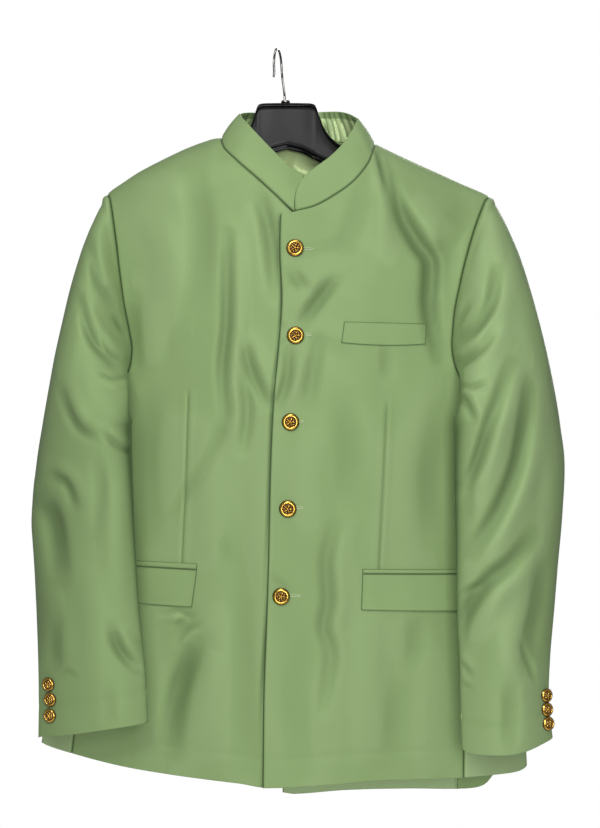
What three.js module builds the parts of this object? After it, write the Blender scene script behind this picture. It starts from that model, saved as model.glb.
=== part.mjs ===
// Bandhgala jacket, buttoned, on a shaped suit hanger with a wire hook.
// Millimetres, +Z up, the front of the jacket faces -Y, +X is the wearer's left.
// Everything is laid out from the jacket's centre line, then moved so that the
// rod point under the hook's bend is the origin.
import * as THREE from 'three';

// Driving sizes
const WALL = 2.0; // jacket cloth with its canvas and hem allowance
const COLLAR_WALL = 1.8;
const COLLAR_LINING_WALL = 1.2;
const LINING_WALL = 1.0;
const SEAM = 0.15; // each piece stops this far from its seam line
const ON_CLOTH = 0.4; // gap under whatever lies on a panel
const LAP = 2.9; // how far the lower layer of a lap sits inside the upper one
const HOOK_FROM_CENTRE = -24; // the rod point from the jacket's centre line
const SHOULDER_ROUND = 70; // drop over which the body turns over the hanger
const SIDE_SHARPNESS = 1.3; // above 1 the side of the body comes to a softer edge
const LOW_ROWS = 11; // rows of points from hem to underarm
const PANEL_COLUMNS = 13;
const SIDE_COLUMNS = 6;
const SLEEVE_HEAD_ROWS = 6;
const SLEEVE_ROWS = 12;

// Level sections of the body
const BODY = [
  { z: -60, centre: 0, half: 268, front: 56, back: 42 },
  { z: -200, centre: 0, half: 268, front: 58, back: 44 },
  { z: -300, centre: 0, half: 268, front: 62, back: 47 },
  { z: -440, centre: 0, half: 268, front: 62, back: 46 },
  { z: -560, centre: -5, half: 266, front: 57, back: 43 },
  { z: -700, centre: -11, half: 279, front: 53, back: 42 },
  { z: -800, centre: -15, half: 292, front: 51, back: 42 },
  { z: -890, centre: -18, half: 300, front: 49, back: 43 },
  { z: -940, centre: -19, half: 302, front: 49, back: 43 },
];

// Shoulder line, across; between the neck points it only shapes the body below
const SHOULDER = [
  { x: -240, z: -183 }, { x: -227, z: -171.5 }, { x: -216, z: -164 }, { x: -193, z: -149 },
  { x: -160, z: -132 }, { x: -133, z: -119.5 }, { x: -105, z: -109.5 }, { x: -93, z: -107 },
  { x: -60, z: -92 }, { x: 0, z: -74 }, { x: 60, z: -95 }, { x: 95, z: -114.8 },
  { x: 135, z: -134.2 }, { x: 168, z: -149 }, { x: 201, z: -164 }, { x: 227, z: -175 },
  { x: 240, z: -182 },
];

// Hem height by angle round the body, 0 at the front and + toward the wearer's left
const HEM = [
  { at: -180, z: -890 }, { at: -150, z: -872 }, { at: -120, z: -856 }, { at: -90, z: -848 },
  { at: -75, z: -851 }, { at: -58, z: -859 }, { at: -38, z: -873 }, { at: -20, z: -884 },
  { at: -10, z: -890 }, { at: -4, z: -895 }, { at: 12, z: -891 }, { at: 23, z: -887 },
  { at: 43, z: -886 }, { at: 60, z: -884 }, { at: 73, z: -882 }, { at: 90, z: -876 },
  { at: 104, z: -876 }, { at: 114, z: -880 }, { at: 119, z: -886 }, { at: 122, z: -898 },
  { at: 126, z: -906 }, { at: 134, z: -909.5 }, { at: 150, z: -911 }, { at: 165, z: -914 },
  { at: 177, z: -919 }, { at: 180, z: -917 },
];

// Upper rows of each panel, from the front edge or centre back and the neckline (x, z)
// across to the armhole (armX, armZ); on the sleeve each row sits at the angle "round"
const FRONT_LEFT = [
  { x: -27.5, z: -415, armX: 212, armZ: -420, round: 196 },
  { x: -22.5, z: -362, armX: 194, armZ: -396, round: 172 },
  { x: -19, z: -308, armX: 187, armZ: -370, round: 148 },
  { x: -21.5, z: -256, armX: 187.5, armZ: -344, round: 126 },
  { x: -20.6, z: -206.5, armX: 190, armZ: -320, round: 106 },
  { x: -3.4, z: -203, armX: 195, armZ: -295, round: 88 },
  { x: 20, z: -196.6, armX: 201, armZ: -268, round: 70 },
  { x: 44, z: -183.5, armX: 208, armZ: -242, round: 55 },
  { x: 68, z: -165.5, armX: 216, armZ: -217, round: 40 },
  { x: 85, z: -144, armX: 224, armZ: -197, round: 26 },
  { x: 92.5, z: -125, armX: 230.5, armZ: -184, round: 13 },
  { x: 94.6, z: -117.2, armX: 234, armZ: -181.2, round: 5 },
  { x: 95, z: -114.8, armX: 235, armZ: -179.3, round: 0 },
];
const FRONT_RIGHT = [
  { x: 9, z: -415, armX: -222, armZ: -420, round: 196 },
  { x: 12, z: -362, armX: -206, armZ: -396, round: 172 },
  { x: 14, z: -308, armX: -201.5, armZ: -370, round: 148 },
  { x: 14, z: -256, armX: -205, armZ: -344, round: 126 },
  { x: 14, z: -210, armX: -209, armZ: -320, round: 106 },
  { x: -4.2, z: -204, armX: -212.5, armZ: -295, round: 88 },
  { x: -28, z: -181, armX: -216, armZ: -268, round: 70 },
  { x: -51, z: -160, armX: -219, armZ: -242, round: 55 },
  { x: -70, z: -143, armX: -222.5, armZ: -217, round: 40 },
  { x: -86, z: -127, armX: -226, armZ: -196, round: 26 },
  { x: -91.5, z: -116.5, armX: -230, armZ: -181, round: 13 },
  { x: -92.7, z: -109.4, armX: -232.5, armZ: -178, round: 5 },
  { x: -93, z: -107, armX: -233.5, armZ: -176.9, round: 0 },
];
const BACK_LEFT = [
  { x: 0, z: -415, armX: 216, armZ: -408, round: 280 },
  { x: 0, z: -354, armX: 206, armZ: -385, round: 287 },
  { x: 0, z: -293, armX: 200, armZ: -355, round: 294 },
  { x: 0, z: -232, armX: 198, armZ: -325, round: 300 },
  { x: 0, z: -171, armX: 200, armZ: -295, round: 306 },
  { x: 0, z: -110, armX: 204, armZ: -265, round: 312 },
  { x: 22, z: -110, armX: 210, armZ: -238, round: 319 },
  { x: 45, z: -110.5, armX: 217, armZ: -215, round: 327 },
  { x: 66, z: -112, armX: 224, armZ: -197, round: 336 },
  { x: 82, z: -114.5, armX: 229, armZ: -186.5, round: 344 },
  { x: 90, z: -117, armX: 232.5, armZ: -182.5, round: 351 },
  { x: 94, z: -117, armX: 234.5, armZ: -181.2, round: 356 },
  { x: 95, z: -114.8, armX: 235, armZ: -179.3, round: 360 },
];
const BACK_RIGHT = [
  { x: 0, z: -415, armX: -226, armZ: -408, round: 280 },
  { x: 0, z: -354, armX: -218, armZ: -385, round: 287 },
  { x: 0, z: -293, armX: -212, armZ: -355, round: 294 },
  { x: 0, z: -232, armX: -209, armZ: -325, round: 300 },
  { x: 0, z: -171, armX: -209, armZ: -295, round: 306 },
  { x: 0, z: -110, armX: -211, armZ: -265, round: 312 },
  { x: -22, z: -109.5, armX: -215, armZ: -238, round: 319 },
  { x: -45, z: -109, armX: -219, armZ: -215, round: 327 },
  { x: -66, z: -109, armX: -223.5, armZ: -195, round: 336 },
  { x: -80, z: -110, armX: -228, armZ: -184, round: 344 },
  { x: -88, z: -110.5, armX: -231, armZ: -179.5, round: 351 },
  { x: -92.4, z: -109.4, armX: -233, armZ: -178, round: 356 },
  { x: -93, z: -107, armX: -233.5, armZ: -176.9, round: 360 },
];

// Top of each side panel: the bottom of the armhole, by angle round the body
const UNDERARM_LEFT = [
  { at: 62, z: -431, round: 208 }, { at: 73, z: -438, round: 225 }, { at: 88, z: -440, round: 243 },
  { at: 104, z: -436, round: 258 }, { at: 115, z: -425, round: 270 },
];
const UNDERARM_RIGHT = [
  { at: -64, z: -431, round: 208 }, { at: -74, z: -438, round: 225 }, { at: -88, z: -440, round: 243 },
  { at: -103, z: -436, round: 258 }, { at: -113, z: -425, round: 270 },
];

// Seams of the side panels at the hem, by angle round the body
const FRONT_SEAM_HEM = { left: 47, right: -60 };
const BACK_SEAM_HEM = { left: 134, right: -134 };

// Front edges below the chest: the one on top, and the hidden one under it
const TOP_EDGE = [
  { z: -415, x: -27.5 }, { z: -452, x: -30 }, { z: -512, x: -32.5 }, { z: -619, x: -35 },
  { z: -690, x: -37.3 }, { z: -786, x: -40.8 }, { z: -900, x: -42 },
];
const UNDER_EDGE_SHIFT = 36.5; // the hidden edge from the one on top
const VENT_LAP = 34; // width of the lap of the centre back vent
const VENT_ROWS = 4; // rows from the hem to the top of the vent

// Largest folds of the front: a soft line of points, its half width and its rise
const FRONT_FOLDS = [
  { line: [[101, -140], [128, -208], [158, -260], [160, -312], [172, -372]], wide: 15, rise: -9 },
  { line: [[99, -150], [101, -215], [118, -262]], wide: 13, rise: 4 },
  { line: [[60, -305], [24, -338]], wide: 11, rise: -4 },
  { line: [[42, -585], [34, -712], [40, -745]], wide: 17, rise: -6 },
  { line: [[-84, -208], [-82, -330], [-86, -455]], wide: 15, rise: -5 },
  { line: [[-62, -368], [-42, -430]], wide: 12, rise: -4 },
  { line: [[-125, -724], [-144, -790], [-152, -850]], wide: 20, rise: -6 },
  { line: [[120, -700], [112, -880]], wide: 24, rise: 6 },
  { line: [[-70, -700], [-78, -885]], wide: 26, rise: 5 },
];
const BACK_FOLDS = [
  { line: [[-95, -190], [-120, -330], [-118, -470]], wide: 22, rise: -7 },
  { line: [[96, -195], [118, -340], [122, -480]], wide: 22, rise: -7 },
  { line: [[-60, -560], [-72, -860]], wide: 26, rise: 6 },
  { line: [[70, -540], [84, -880]], wide: 26, rise: 6 },
  { line: [[150, -600], [176, -880]], wide: 24, rise: -5 },
];

// Level sections of the sleeves, below the underarm: seen edges, middle depth,
// turn of the long axis in degrees and half thickness
const SLEEVE_LEFT = [
  { z: -455, inner: 185.8, outer: 318, middle: -50, turn: 32, half: 42 },
  { z: -500, inner: 186, outer: 323.5, middle: -50, turn: 28, half: 38 },
  { z: -560, inner: 187, outer: 320.5, middle: -53, turn: 23, half: 34 },
  { z: -620, inner: 188, outer: 315, middle: -57, turn: 19, half: 31 },
  { z: -680, inner: 189, outer: 309.5, middle: -61, turn: 16, half: 28 },
  { z: -740, inner: 192, outer: 303.5, middle: -65, turn: 14, half: 25 },
  { z: -790, inner: 193, outer: 301.5, middle: -68, turn: 12, half: 22 },
  { z: -850, inner: 194.5, outer: 307.5, middle: -71, turn: 10, half: 20 },
];
const SLEEVE_RIGHT = [
  { z: -455, inner: -197.5, outer: -307.5, middle: -50, turn: 32, half: 40 },
  { z: -500, inner: -196.5, outer: -315, middle: -51, turn: 28, half: 38 },
  { z: -560, inner: -194, outer: -320.5, middle: -53, turn: 23, half: 34 },
  { z: -620, inner: -191, outer: -318, middle: -57, turn: 19, half: 31 },
  { z: -680, inner: -187, outer: -314.5, middle: -61, turn: 16, half: 28 },
  { z: -740, inner: -180.5, outer: -311.5, middle: -65, turn: 14, half: 25 },
  { z: -790, inner: -177.4, outer: -310, middle: -68, turn: 12, half: 22 },
  { z: -850, inner: -175, outer: -310, middle: -71, turn: 10, half: 20 },
];
// Cuff edge height by angle round the sleeve, 0 outside, 90 front, 180 inside
const CUFF_LEFT = [
  { at: 0, z: -832 }, { at: 40, z: -837 }, { at: 90, z: -848 }, { at: 150, z: -847 },
  { at: 180, z: -841 }, { at: 270, z: -843 }, { at: 360, z: -832 },
];
const CUFF_RIGHT = [
  { at: 0, z: -835 }, { at: 60, z: -833 }, { at: 110, z: -826 }, { at: 165, z: -816 },
  { at: 180, z: -812 }, { at: 270, z: -824 }, { at: 360, z: -835 },
];
// Sleeve seams: where the top sleeve gives way to the under sleeve
const TOP_SLEEVE_FROM = 344;
const TOP_SLEEVE_TO = 196;

const SLEEVE_FOLDS_LEFT = [
  { line: [[186, -374], [240, -312]], wide: 12, rise: -6 },
  { line: [[268, -420], [262, -530]], wide: 15, rise: -6 },
  { line: [[268, -515], [212, -618]], wide: 14, rise: -6 },
  { line: [[272, -625], [206, -700]], wide: 16, rise: -5 },
];
const SLEEVE_FOLDS_RIGHT = [
  { line: [[-208, -364], [-242, -320]], wide: 11, rise: -6 },
  { line: [[-280, -425], [-200, -480]], wide: 13, rise: -7 },
  { line: [[-274, -515], [-270, -560]], wide: 14, rise: -5 },
  { line: [[-225, -710], [-186, -765]], wide: 13, rise: -5 },
];

// Collar: free top edge above each point of the neckline, front first
const COLLAR_TOP_LEFT = [
  { x: 4, y: -50, z: -163 }, { x: 21, y: -49, z: -149 }, { x: 38, y: -46, z: -136.5 },
  { x: 54, y: -39, z: -120 }, { x: 66, y: -28, z: -102 }, { x: 72, y: -16, z: -90 },
  { x: 74, y: -8, z: -85 }, { x: 74, y: -2, z: -83 },
];
const COLLAR_TOP_RIGHT = [
  { x: 3, y: -50, z: -161.5 }, { x: -17, y: -48, z: -140.5 }, { x: -35, y: -44, z: -122 },
  { x: -50, y: -37, z: -105.5 }, { x: -60, y: -27, z: -93.5 }, { x: -67, y: -16, z: -85 },
  { x: -70, y: -8, z: -79.5 }, { x: -71, y: -2, z: -77.5 },
];
const COLLAR_TOP_BACK_LEFT = [
  { x: 0, y: 44, z: -71 }, { x: 19, y: 43, z: -70.5 }, { x: 37, y: 39, z: -70 },
  { x: 54, y: 31, z: -71 }, { x: 65, y: 20, z: -75 }, { x: 70, y: 12, z: -79 },
  { x: 73, y: 4, z: -82 }, { x: 74, y: -2, z: -83 },
];
const COLLAR_TOP_BACK_RIGHT = [
  { x: 0, y: 44, z: -71 }, { x: -19, y: 43, z: -71.5 }, { x: -37, y: 39, z: -72 },
  { x: -53, y: 32, z: -72 }, { x: -63, y: 21, z: -73 }, { x: -68, y: 12, z: -75 },
  { x: -70.5, y: 4, z: -77 }, { x: -71, y: -2, z: -77.5 },
];
const COLLAR_ROWS = 4;

// Pieces laid on the front: corners by height and distance from the centre line
const WELT = { in: [56, 52.4], out: [155.6, 153.6], top: [-335.3, -337.2], low: [-360.6, -361.9], bow: 2.4 };
const JET_LEFT = { in: [78, 78], out: [214, 214], top: [-631.3, -633.4], low: [-636.8, -638.8], bow: 0 };
const FLAP_LEFT = { in: [78, 76.4], out: [214, 216], top: [-637.4, -639.4], low: [-680.5, -683.5], bow: 0.8 };
const JET_RIGHT = { in: [-120, -120.5], out: [-252, -252], top: [-625, -620], low: [-632.2, -626], bow: 0 };
const FLAP_RIGHT = { in: [-120.5, -126.5], out: [-252, -250], top: [-632.8, -626.6], low: [-677.2, -668], bow: 1.6 };
const WELT_WALL = 1.8;
const JET_WALL = 1.3;
const FLAP_WALL = 1.9;

// Buttons: radius, shank, dome profile
const FRONT_BUTTONS = [
  { x: -2.7, z: -247.3 }, { x: -2.1, z: -351.8 }, { x: -8.1, z: -455.1 }, { x: -11.3, z: -559 },
  { x: -19.3, z: -664.1 },
];
const FRONT_BUTTON_RADIUS = 10.5;
const CUFF_BUTTONS_LEFT = [{ round: 14, z: -783.5 }, { round: 14, z: -800.2 }, { round: 14, z: -817 }];
const CUFF_BUTTONS_RIGHT = [{ round: 36, z: -770.5 }, { round: 37, z: -788.5 }, { round: 36, z: -807.5 }];
const CUFF_BUTTON_RADIUS = 7.8;

// Hanger: middle at HANGER_X; sections by distance from its middle
const HANGER_X = -13;
const HANGER_CLEAR = 3.3; // from the shoulder line to the top of the arms
const HANGER = [
  { off: 0, top: -66.5, low: -122.5, half: 6 },
  { off: 20, top: -66.7, low: -128, half: 6 },
  { off: 31, top: -67.4, low: -134, half: 6.5 },
  { off: 35.5, top: -70, low: -136, half: 6.5 },
  { off: 39, top: -79, low: -138, half: 7 },
  { off: 45, top: -94, low: -140.5, half: 7.5 },
  { off: 54, top: -107, low: -144, half: 8 },
  { off: 66, top: -116.5, low: -149, half: 9 },
  { off: 84, top: -124, low: -155.5, half: 11 },
  { off: 115, top: -128, low: -165, half: 14 },
  { off: 150, top: -145, low: -178, half: 17 },
  { off: 180, top: -158, low: -188, half: 19 },
  { off: 198, top: -166, low: -195, half: 18 },
  { off: 206, top: -176, low: -193, half: 12 },
];
const HANGER_AIR = 1.4; // between the arms and the faces of the cloth
const HANGER_LIP = { high: 6, proud: 1.2 };

// Hook wire, from its foot in the cap up and over the rod to its tip
const WIRE = 1.5;
const HOOK = [
  { x: -15.4, y: 0, z: -61.6 }, { x: -15.8, y: 2, z: -54 }, { x: -17.2, y: 11, z: -41 },
  { x: -18.6, y: 18.5, z: -30 }, { x: -19.4, y: 20.5, z: -19.5 }, { x: -20.2, y: 17.7, z: -9 },
  { x: -21.8, y: 10.2, z: -1.2 }, { x: -24, y: 0, z: 1.5 }, { x: -26, y: -10.2, z: -1.2 },
  { x: -27.6, y: -17.7, z: -9 }, { x: -28.4, y: -20.5, z: -19.5 }, { x: -28.2, y: -20, z: -30 },
  { x: -28.8, y: -19.4, z: -36.4 },
];
const CAP = { x: -14.4, radius: 5.4, low: -66.2, top: -61.9 };

const DEG = Math.PI / 180;
const mix = (a, b, t) => a + (b - a) * t;
const sub = (a, b) => [a[0] - b[0], a[1] - b[1], a[2] - b[2]];
const add = (a, b, k = 1) => [a[0] + b[0] * k, a[1] + b[1] * k, a[2] + b[2] * k];
const cross = (a, b) => [a[1] * b[2] - a[2] * b[1], a[2] * b[0] - a[0] * b[2], a[0] * b[1] - a[1] * b[0]];
const dot = (a, b) => a[0] * b[0] + a[1] * b[1] + a[2] * b[2];
const unit = (a) => {
  const length = Math.hypot(...a) || 1;
  return a.map((v) => v / length);
};

// Read a smooth value out of a table sorted on one column, rising or falling
function read(rows, key, value, at) {
  const list = rows[0][key] > rows[rows.length - 1][key] ? [...rows].reverse() : rows;
  if (at <= list[0][key]) return list[0][value];
  if (at >= list[list.length - 1][key]) return list[list.length - 1][value];
  let i = 0;
  while (list[i + 1][key] < at) i += 1;
  const a = list[i];
  const b = list[i + 1];
  const before = list[Math.max(i - 1, 0)];
  const after = list[Math.min(i + 2, list.length - 1)];
  const span = b[key] - a[key];
  const t = (at - a[key]) / span;
  const inSlope = (b[value] - before[value]) / (b[key] - before[key]) * span;
  const outSlope = (after[value] - a[value]) / (after[key] - a[key]) * span;
  const t2 = t * t;
  const t3 = t2 * t;
  return (2 * t3 - 3 * t2 + 1) * a[value] + (t3 - 2 * t2 + t) * inSlope
    + (3 * t2 - 2 * t3) * b[value] + (t3 - t2) * outSlope;
}

function straight(rows, key, value, at) {
  let i = 0;
  while (i < rows.length - 2 && rows[i + 1][key] < at) i += 1;
  const t = (at - rows[i][key]) / (rows[i + 1][key] - rows[i][key]);
  return mix(rows[i][value], rows[i + 1][value], t);
}

const shoulderZ = (x) => straight(SHOULDER, 'x', 'z', x);

// Height of the folds at a place on the flat
function foldRise(folds, x, z) {
  let rise = 0;
  for (const fold of folds) {
    let best = Infinity;
    let along = 0;
    const parts = fold.line.length - 1;
    for (let i = 0; i < parts; i += 1) {
      const [ax, az] = fold.line[i];
      const [bx, bz] = fold.line[i + 1];
      const length2 = (bx - ax) ** 2 + (bz - az) ** 2;
      const t = Math.min(1, Math.max(0, ((x - ax) * (bx - ax) + (z - az) * (bz - az)) / length2));
      const away = Math.hypot(x - mix(ax, bx, t), z - mix(az, bz, t));
      if (away < best) {
        best = away;
        along = (i + t) / parts;
      }
    }
    const fade = 0.35 + 0.65 * Math.sin(Math.PI * Math.min(1, Math.max(0, along)));
    rise += fold.rise * fade * Math.exp(-((best / fold.wide) ** 2));
  }
  return rise;
}

// The body's outer face at an angle round it and a height
function bodyPoint(angle, z) {
  const x = read(BODY, 'z', 'centre', z) + read(BODY, 'z', 'half', z) * Math.sin(angle);
  const c = Math.cos(angle);
  const side = c >= 0 ? -1 : 1;
  const depth = read(BODY, 'z', c >= 0 ? 'front' : 'back', z) * Math.abs(c) ** SIDE_SHARPNESS;
  const drop = Math.min(1, Math.max(0, shoulderZ(x) - z) / SHOULDER_ROUND);
  const turn = Math.sqrt(Math.max(0, 1 - (1 - drop) ** 2));
  const rise = foldRise(c >= 0 ? FRONT_FOLDS : BACK_FOLDS, x, z);
  return [x, side * turn * (depth + rise * Math.min(1, Math.abs(c) * 2)), z];
}

function bodyNormal(angle, z) {
  const x = bodyPoint(angle, z)[0];
  if (shoulderZ(x) - z < 0.6) {
    return unit([-(shoulderZ(x + 4) - shoulderZ(x - 4)) / 8, 0, 1]);
  }
  const around = sub(bodyPoint(angle + 0.004, z), bodyPoint(angle - 0.004, z));
  const up = sub(bodyPoint(angle, z + 0.4), bodyPoint(angle, z - 0.4));
  return unit(cross(around, up));
}

// The angle round the body of a place given by its distance from the centre line
function angleOf(x, z, behind) {
  const s = (x - read(BODY, 'z', 'centre', z)) / read(BODY, 'z', 'half', z);
  const angle = Math.asin(Math.min(1, Math.max(-1, s)));
  if (!behind) return angle;
  return (x < 0 ? -Math.PI : Math.PI) - angle;
}

// Closed piece from an outer and an inner sheet of points, rows by columns
function shell(outer, inner) {
  const rows = outer.length;
  const columns = outer[0].length;
  const points = [];
  const faces = [];
  for (const row of outer) points.push(...row);
  for (const row of inner) points.push(...row);
  const far = rows * columns;
  const quad = (a, b, c, d) => {
    const ac = Math.hypot(...sub(points[a], points[c]));
    const bd = Math.hypot(...sub(points[b], points[d]));
    if (ac <= bd) faces.push([a, b, c], [a, c, d]);
    else faces.push([a, b, d], [b, c, d]);
  };
  for (let r = 0; r < rows - 1; r += 1) {
    for (let c = 0; c < columns - 1; c += 1) {
      const a = r * columns + c;
      quad(a, a + 1, a + 1 + columns, a + columns);
      quad(far + a, far + a + columns, far + a + 1 + columns, far + a + 1);
    }
  }
  for (let c = 0; c < columns - 1; c += 1) {
    const last = (rows - 1) * columns + c;
    quad(c, far + c, far + c + 1, c + 1);
    quad(last, last + 1, far + last + 1, far + last);
  }
  for (let r = 0; r < rows - 1; r += 1) {
    const left = r * columns;
    const right = left + columns - 1;
    quad(left, left + columns, far + left + columns, far + left);
    quad(right, far + right, far + right + columns, right + columns);
  }
  return { points, faces };
}

// Closed body from rings of points, capped at both ends
function loft(rings) {
  const count = rings[0].length;
  const points = rings.flat();
  const faces = [];
  for (let r = 0; r < rings.length - 1; r += 1) {
    for (let i = 0; i < count; i += 1) {
      const a = r * count + i;
      const b = r * count + (i + 1) % count;
      faces.push([a, b, b + count], [a, b + count, a + count]);
    }
  }
  const middle = (ring) => ring.reduce((sum, p) => add(sum, p), [0, 0, 0]).map((v) => v / count);
  const first = points.length;
  points.push(middle(rings[0]), middle(rings[rings.length - 1]));
  const last = (rings.length - 1) * count;
  for (let i = 0; i < count; i += 1) {
    faces.push([first, (i + 1) % count, i], [first + 1, last + i, last + (i + 1) % count]);
  }
  return { points, faces };
}

const group = new THREE.Group();
group.name = 'bandhgala_jacket';

function place(name, { points, faces }, look) {
  let volume = 0;
  for (const [a, b, c] of faces) volume += dot(points[a], cross(points[b], points[c]));
  const order = volume < 0 ? faces.map(([a, b, c]) => [a, c, b]) : faces;
  const geometry = new THREE.BufferGeometry();
  geometry.setAttribute('position', new THREE.Float32BufferAttribute(points.flat(), 3));
  geometry.setIndex(order.flat());
  geometry.translate(-HOOK_FROM_CENTRE, 0, 0);
  geometry.computeVertexNormals();
  const mesh = new THREE.Mesh(geometry, new THREE.MeshStandardMaterial({ ...look, name }));
  mesh.name = name;
  group.add(mesh);
}

const CLOTH = { color: 0x8aa672, roughness: 0.72, metalness: 0 };
const SATIN = { color: 0xc3d68f, roughness: 0.4, metalness: 0 };
const GOLD = { color: 0xa8843f, roughness: 0.38, metalness: 1 };
const PLASTIC = { color: 0x1b1c1f, roughness: 0.35, metalness: 0 };
const CHROME = { color: 0xc9ccd0, roughness: 0.15, metalness: 1 };

// Pull the edges of a sheet of points back from its seams
function trimmed(sheet) {
  const rows = sheet.length;
  const columns = sheet[0].length;
  const toward = (p, q) => add(p, unit(sub(q, p)), SEAM);
  const out = sheet.map((row) => row.map((p) => [...p]));
  for (let r = 0; r < rows; r += 1) {
    out[r][0] = toward(out[r][0], sheet[r][1]);
    out[r][columns - 1] = toward(out[r][columns - 1], sheet[r][columns - 2]);
  }
  for (let c = 0; c < columns; c += 1) {
    out[0][c] = toward(out[0][c], sheet[1][c]);
    out[rows - 1][c] = toward(out[rows - 1][c], sheet[rows - 2][c]);
  }
  return out;
}

// Sleeves
function sleeveRing(table, round, z) {
  const inner = read(table, 'z', 'inner', z);
  const outer = read(table, 'z', 'outer', z);
  const side = Math.sign(outer);
  const turn = read(table, 'z', 'turn', z) * DEG;
  const half = read(table, 'z', 'half', z);
  const wide = Math.abs(outer - inner) / 2;
  const long = Math.sqrt(Math.max(wide ** 2 - (half * Math.sin(turn)) ** 2, 100)) / Math.cos(turn);
  const a = round * DEG;
  const u = long * Math.cos(a);
  const v = half * Math.sin(a);
  const x = u * Math.cos(turn) + v * Math.sin(turn);
  const y = u * Math.sin(turn) - v * Math.cos(turn);
  return [(inner + outer) / 2 + side * x, read(table, 'z', 'middle', z) + y, z];
}

// Keep a sleeve point outside the body, on its own side
function clearOfBody(p, gap) {
  const side = Math.sign(p[0]);
  const centre = read(BODY, 'z', 'centre', p[2]);
  const half = read(BODY, 'z', 'half', p[2]) + gap;
  const front = read(BODY, 'z', 'front', p[2]);
  const back = read(BODY, 'z', 'back', p[2]);
  const inside = (x, y) => {
    const s = (x - centre) / half;
    if (Math.abs(s) >= 1) return false;
    const depth = (1 - s * s) ** (SIDE_SHARPNESS / 2);
    return y > -front * depth - gap && y < back * depth + gap;
  };
  const from = [side * 195, 14];
  const way = [p[0] - from[0], p[1] - from[1]];
  let reach = 1;
  while (reach < 4 && inside(from[0] + way[0] * reach, from[1] + way[1] * reach)) reach += 0.01;
  return [from[0] + way[0] * reach, from[1] + way[1] * reach, p[2]];
}

const FIRST_RING = -455;
const FLAP_BAND = [-705, -605];

// Rows of the outer face of a sleeve: the armhole first, the cuff last
function sleeveSheet(table, cuff, folds, arm) {
  const rows = [];
  const count = SLEEVE_HEAD_ROWS + SLEEVE_ROWS;
  for (let r = 0; r <= count; r += 1) {
    rows.push(arm.map(({ point, normal, round }) => {
      if (r === 0) return point;
      if (r > SLEEVE_HEAD_ROWS) {
        const t = (r - SLEEVE_HEAD_ROWS) / SLEEVE_ROWS;
        const z = mix(FIRST_RING, read(cuff, 'at', 'z', round), t);
        const p = sleeveRing(table, round, z);
        const face = Math.sin(round * DEG);
        const rise = face > 0 ? foldRise(folds, p[0], p[2]) * Math.min(1, face * 2) : 0;
        const gap = p[2] > FLAP_BAND[0] && p[2] < FLAP_BAND[1] ? 5.5 : 3.2;
        return clearOfBody([p[0], p[1] - rise, p[2]], gap);
      }
      const end = sleeveRing(table, round, FIRST_RING);
      const chord = unit(sub(end, point));
      const lift = mix(0.3, 0.9, Math.min(1, Math.abs(Math.sin(round * DEG / 2)) * 1.6));
      const away = unit(add(chord.map((v) => v * (1 - lift)), normal, lift));
      const reach = Math.hypot(...sub(end, point)) * 0.85;
      const t = r / SLEEVE_HEAD_ROWS;
      const t2 = t * t;
      const t3 = t2 * t;
      const down = [0.06 * Math.sign(end[0]), 0, -1];
      let p = [0, 0, 0];
      p = add(p, point, 2 * t3 - 3 * t2 + 1);
      p = add(p, away, (t3 - 2 * t2 + t) * reach);
      p = add(p, end, 3 * t2 - 2 * t3);
      p = add(p, down, (t3 - t2) * reach);
      const face = Math.sin(round * DEG);
      if (face > 0) p[1] -= foldRise(folds, p[0], p[2]) * Math.min(1, face * 2) * Math.min(1, t * 3);
      if (p[2] > -398) return p;
      const far = Math.hypot(...sub(p, point));
      return clearOfBody(p, Math.min(3.2, 0.3 + far * 0.2));
    }));
  }
  return rows;
}

const SIDES = {
  left: {
    sign: 1, front: FRONT_LEFT, back: BACK_LEFT, underarm: UNDERARM_LEFT, sleeve: SLEEVE_LEFT,
    cuff: CUFF_LEFT, folds: SLEEVE_FOLDS_LEFT,
  },
  right: {
    sign: -1, front: FRONT_RIGHT, back: BACK_RIGHT, underarm: UNDERARM_RIGHT, sleeve: SLEEVE_RIGHT,
    cuff: CUFF_RIGHT, folds: SLEEVE_FOLDS_RIGHT,
  },
};

// The armhole from the shoulder down the front, under the arm and up the back
for (const side of Object.values(SIDES)) {
  const arm = [];
  for (const row of [...side.front].reverse()) {
    const angle = angleOf(row.armX, row.armZ, false);
    arm.push({ angle, z: row.armZ, round: row.round });
  }
  for (const row of side.underarm) arm.push({ angle: row.at * DEG, z: row.z, round: row.round });
  for (const row of side.back) {
    arm.push({ angle: angleOf(row.armX, row.armZ, true), z: row.armZ, round: row.round });
  }
  arm[0].z = shoulderZ(bodyPoint(arm[0].angle, arm[0].z)[0]);
  arm[arm.length - 1].z = arm[0].z;
  for (const stop of arm) {
    stop.point = bodyPoint(stop.angle, stop.z);
    stop.normal = bodyNormal(stop.angle, stop.z);
  }
  side.arm = arm;
  side.sheet = sleeveSheet(side.sleeve, side.cuff, side.folds, arm);
}

// Outward normals of a tube of points whose first and last columns are the same line
function tubeNormals(sheet, sign) {
  const last = sheet[0].length - 1;
  return sheet.map((row, r) => row.map((p, c) => {
    const before = row[c === 0 ? last - 1 : c - 1];
    const after = row[c === last ? 1 : c + 1];
    const up = sheet[Math.max(r - 1, 0)][c];
    const down = sheet[Math.min(r + 1, sheet.length - 1)][c];
    return unit(cross(sub(after, before), sub(up, down)).map((v) => v * sign));
  }));
}

// Mitre at the armhole: one slant shared by the body's edge and the sleeve's edge
for (const side of Object.values(SIDES)) {
  side.normals = tubeNormals(side.sheet, -side.sign);
  side.arm.forEach((stop, i) => {
    stop.mitre = unit(add(stop.normal, side.normals[0][i]));
  });
}

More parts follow.
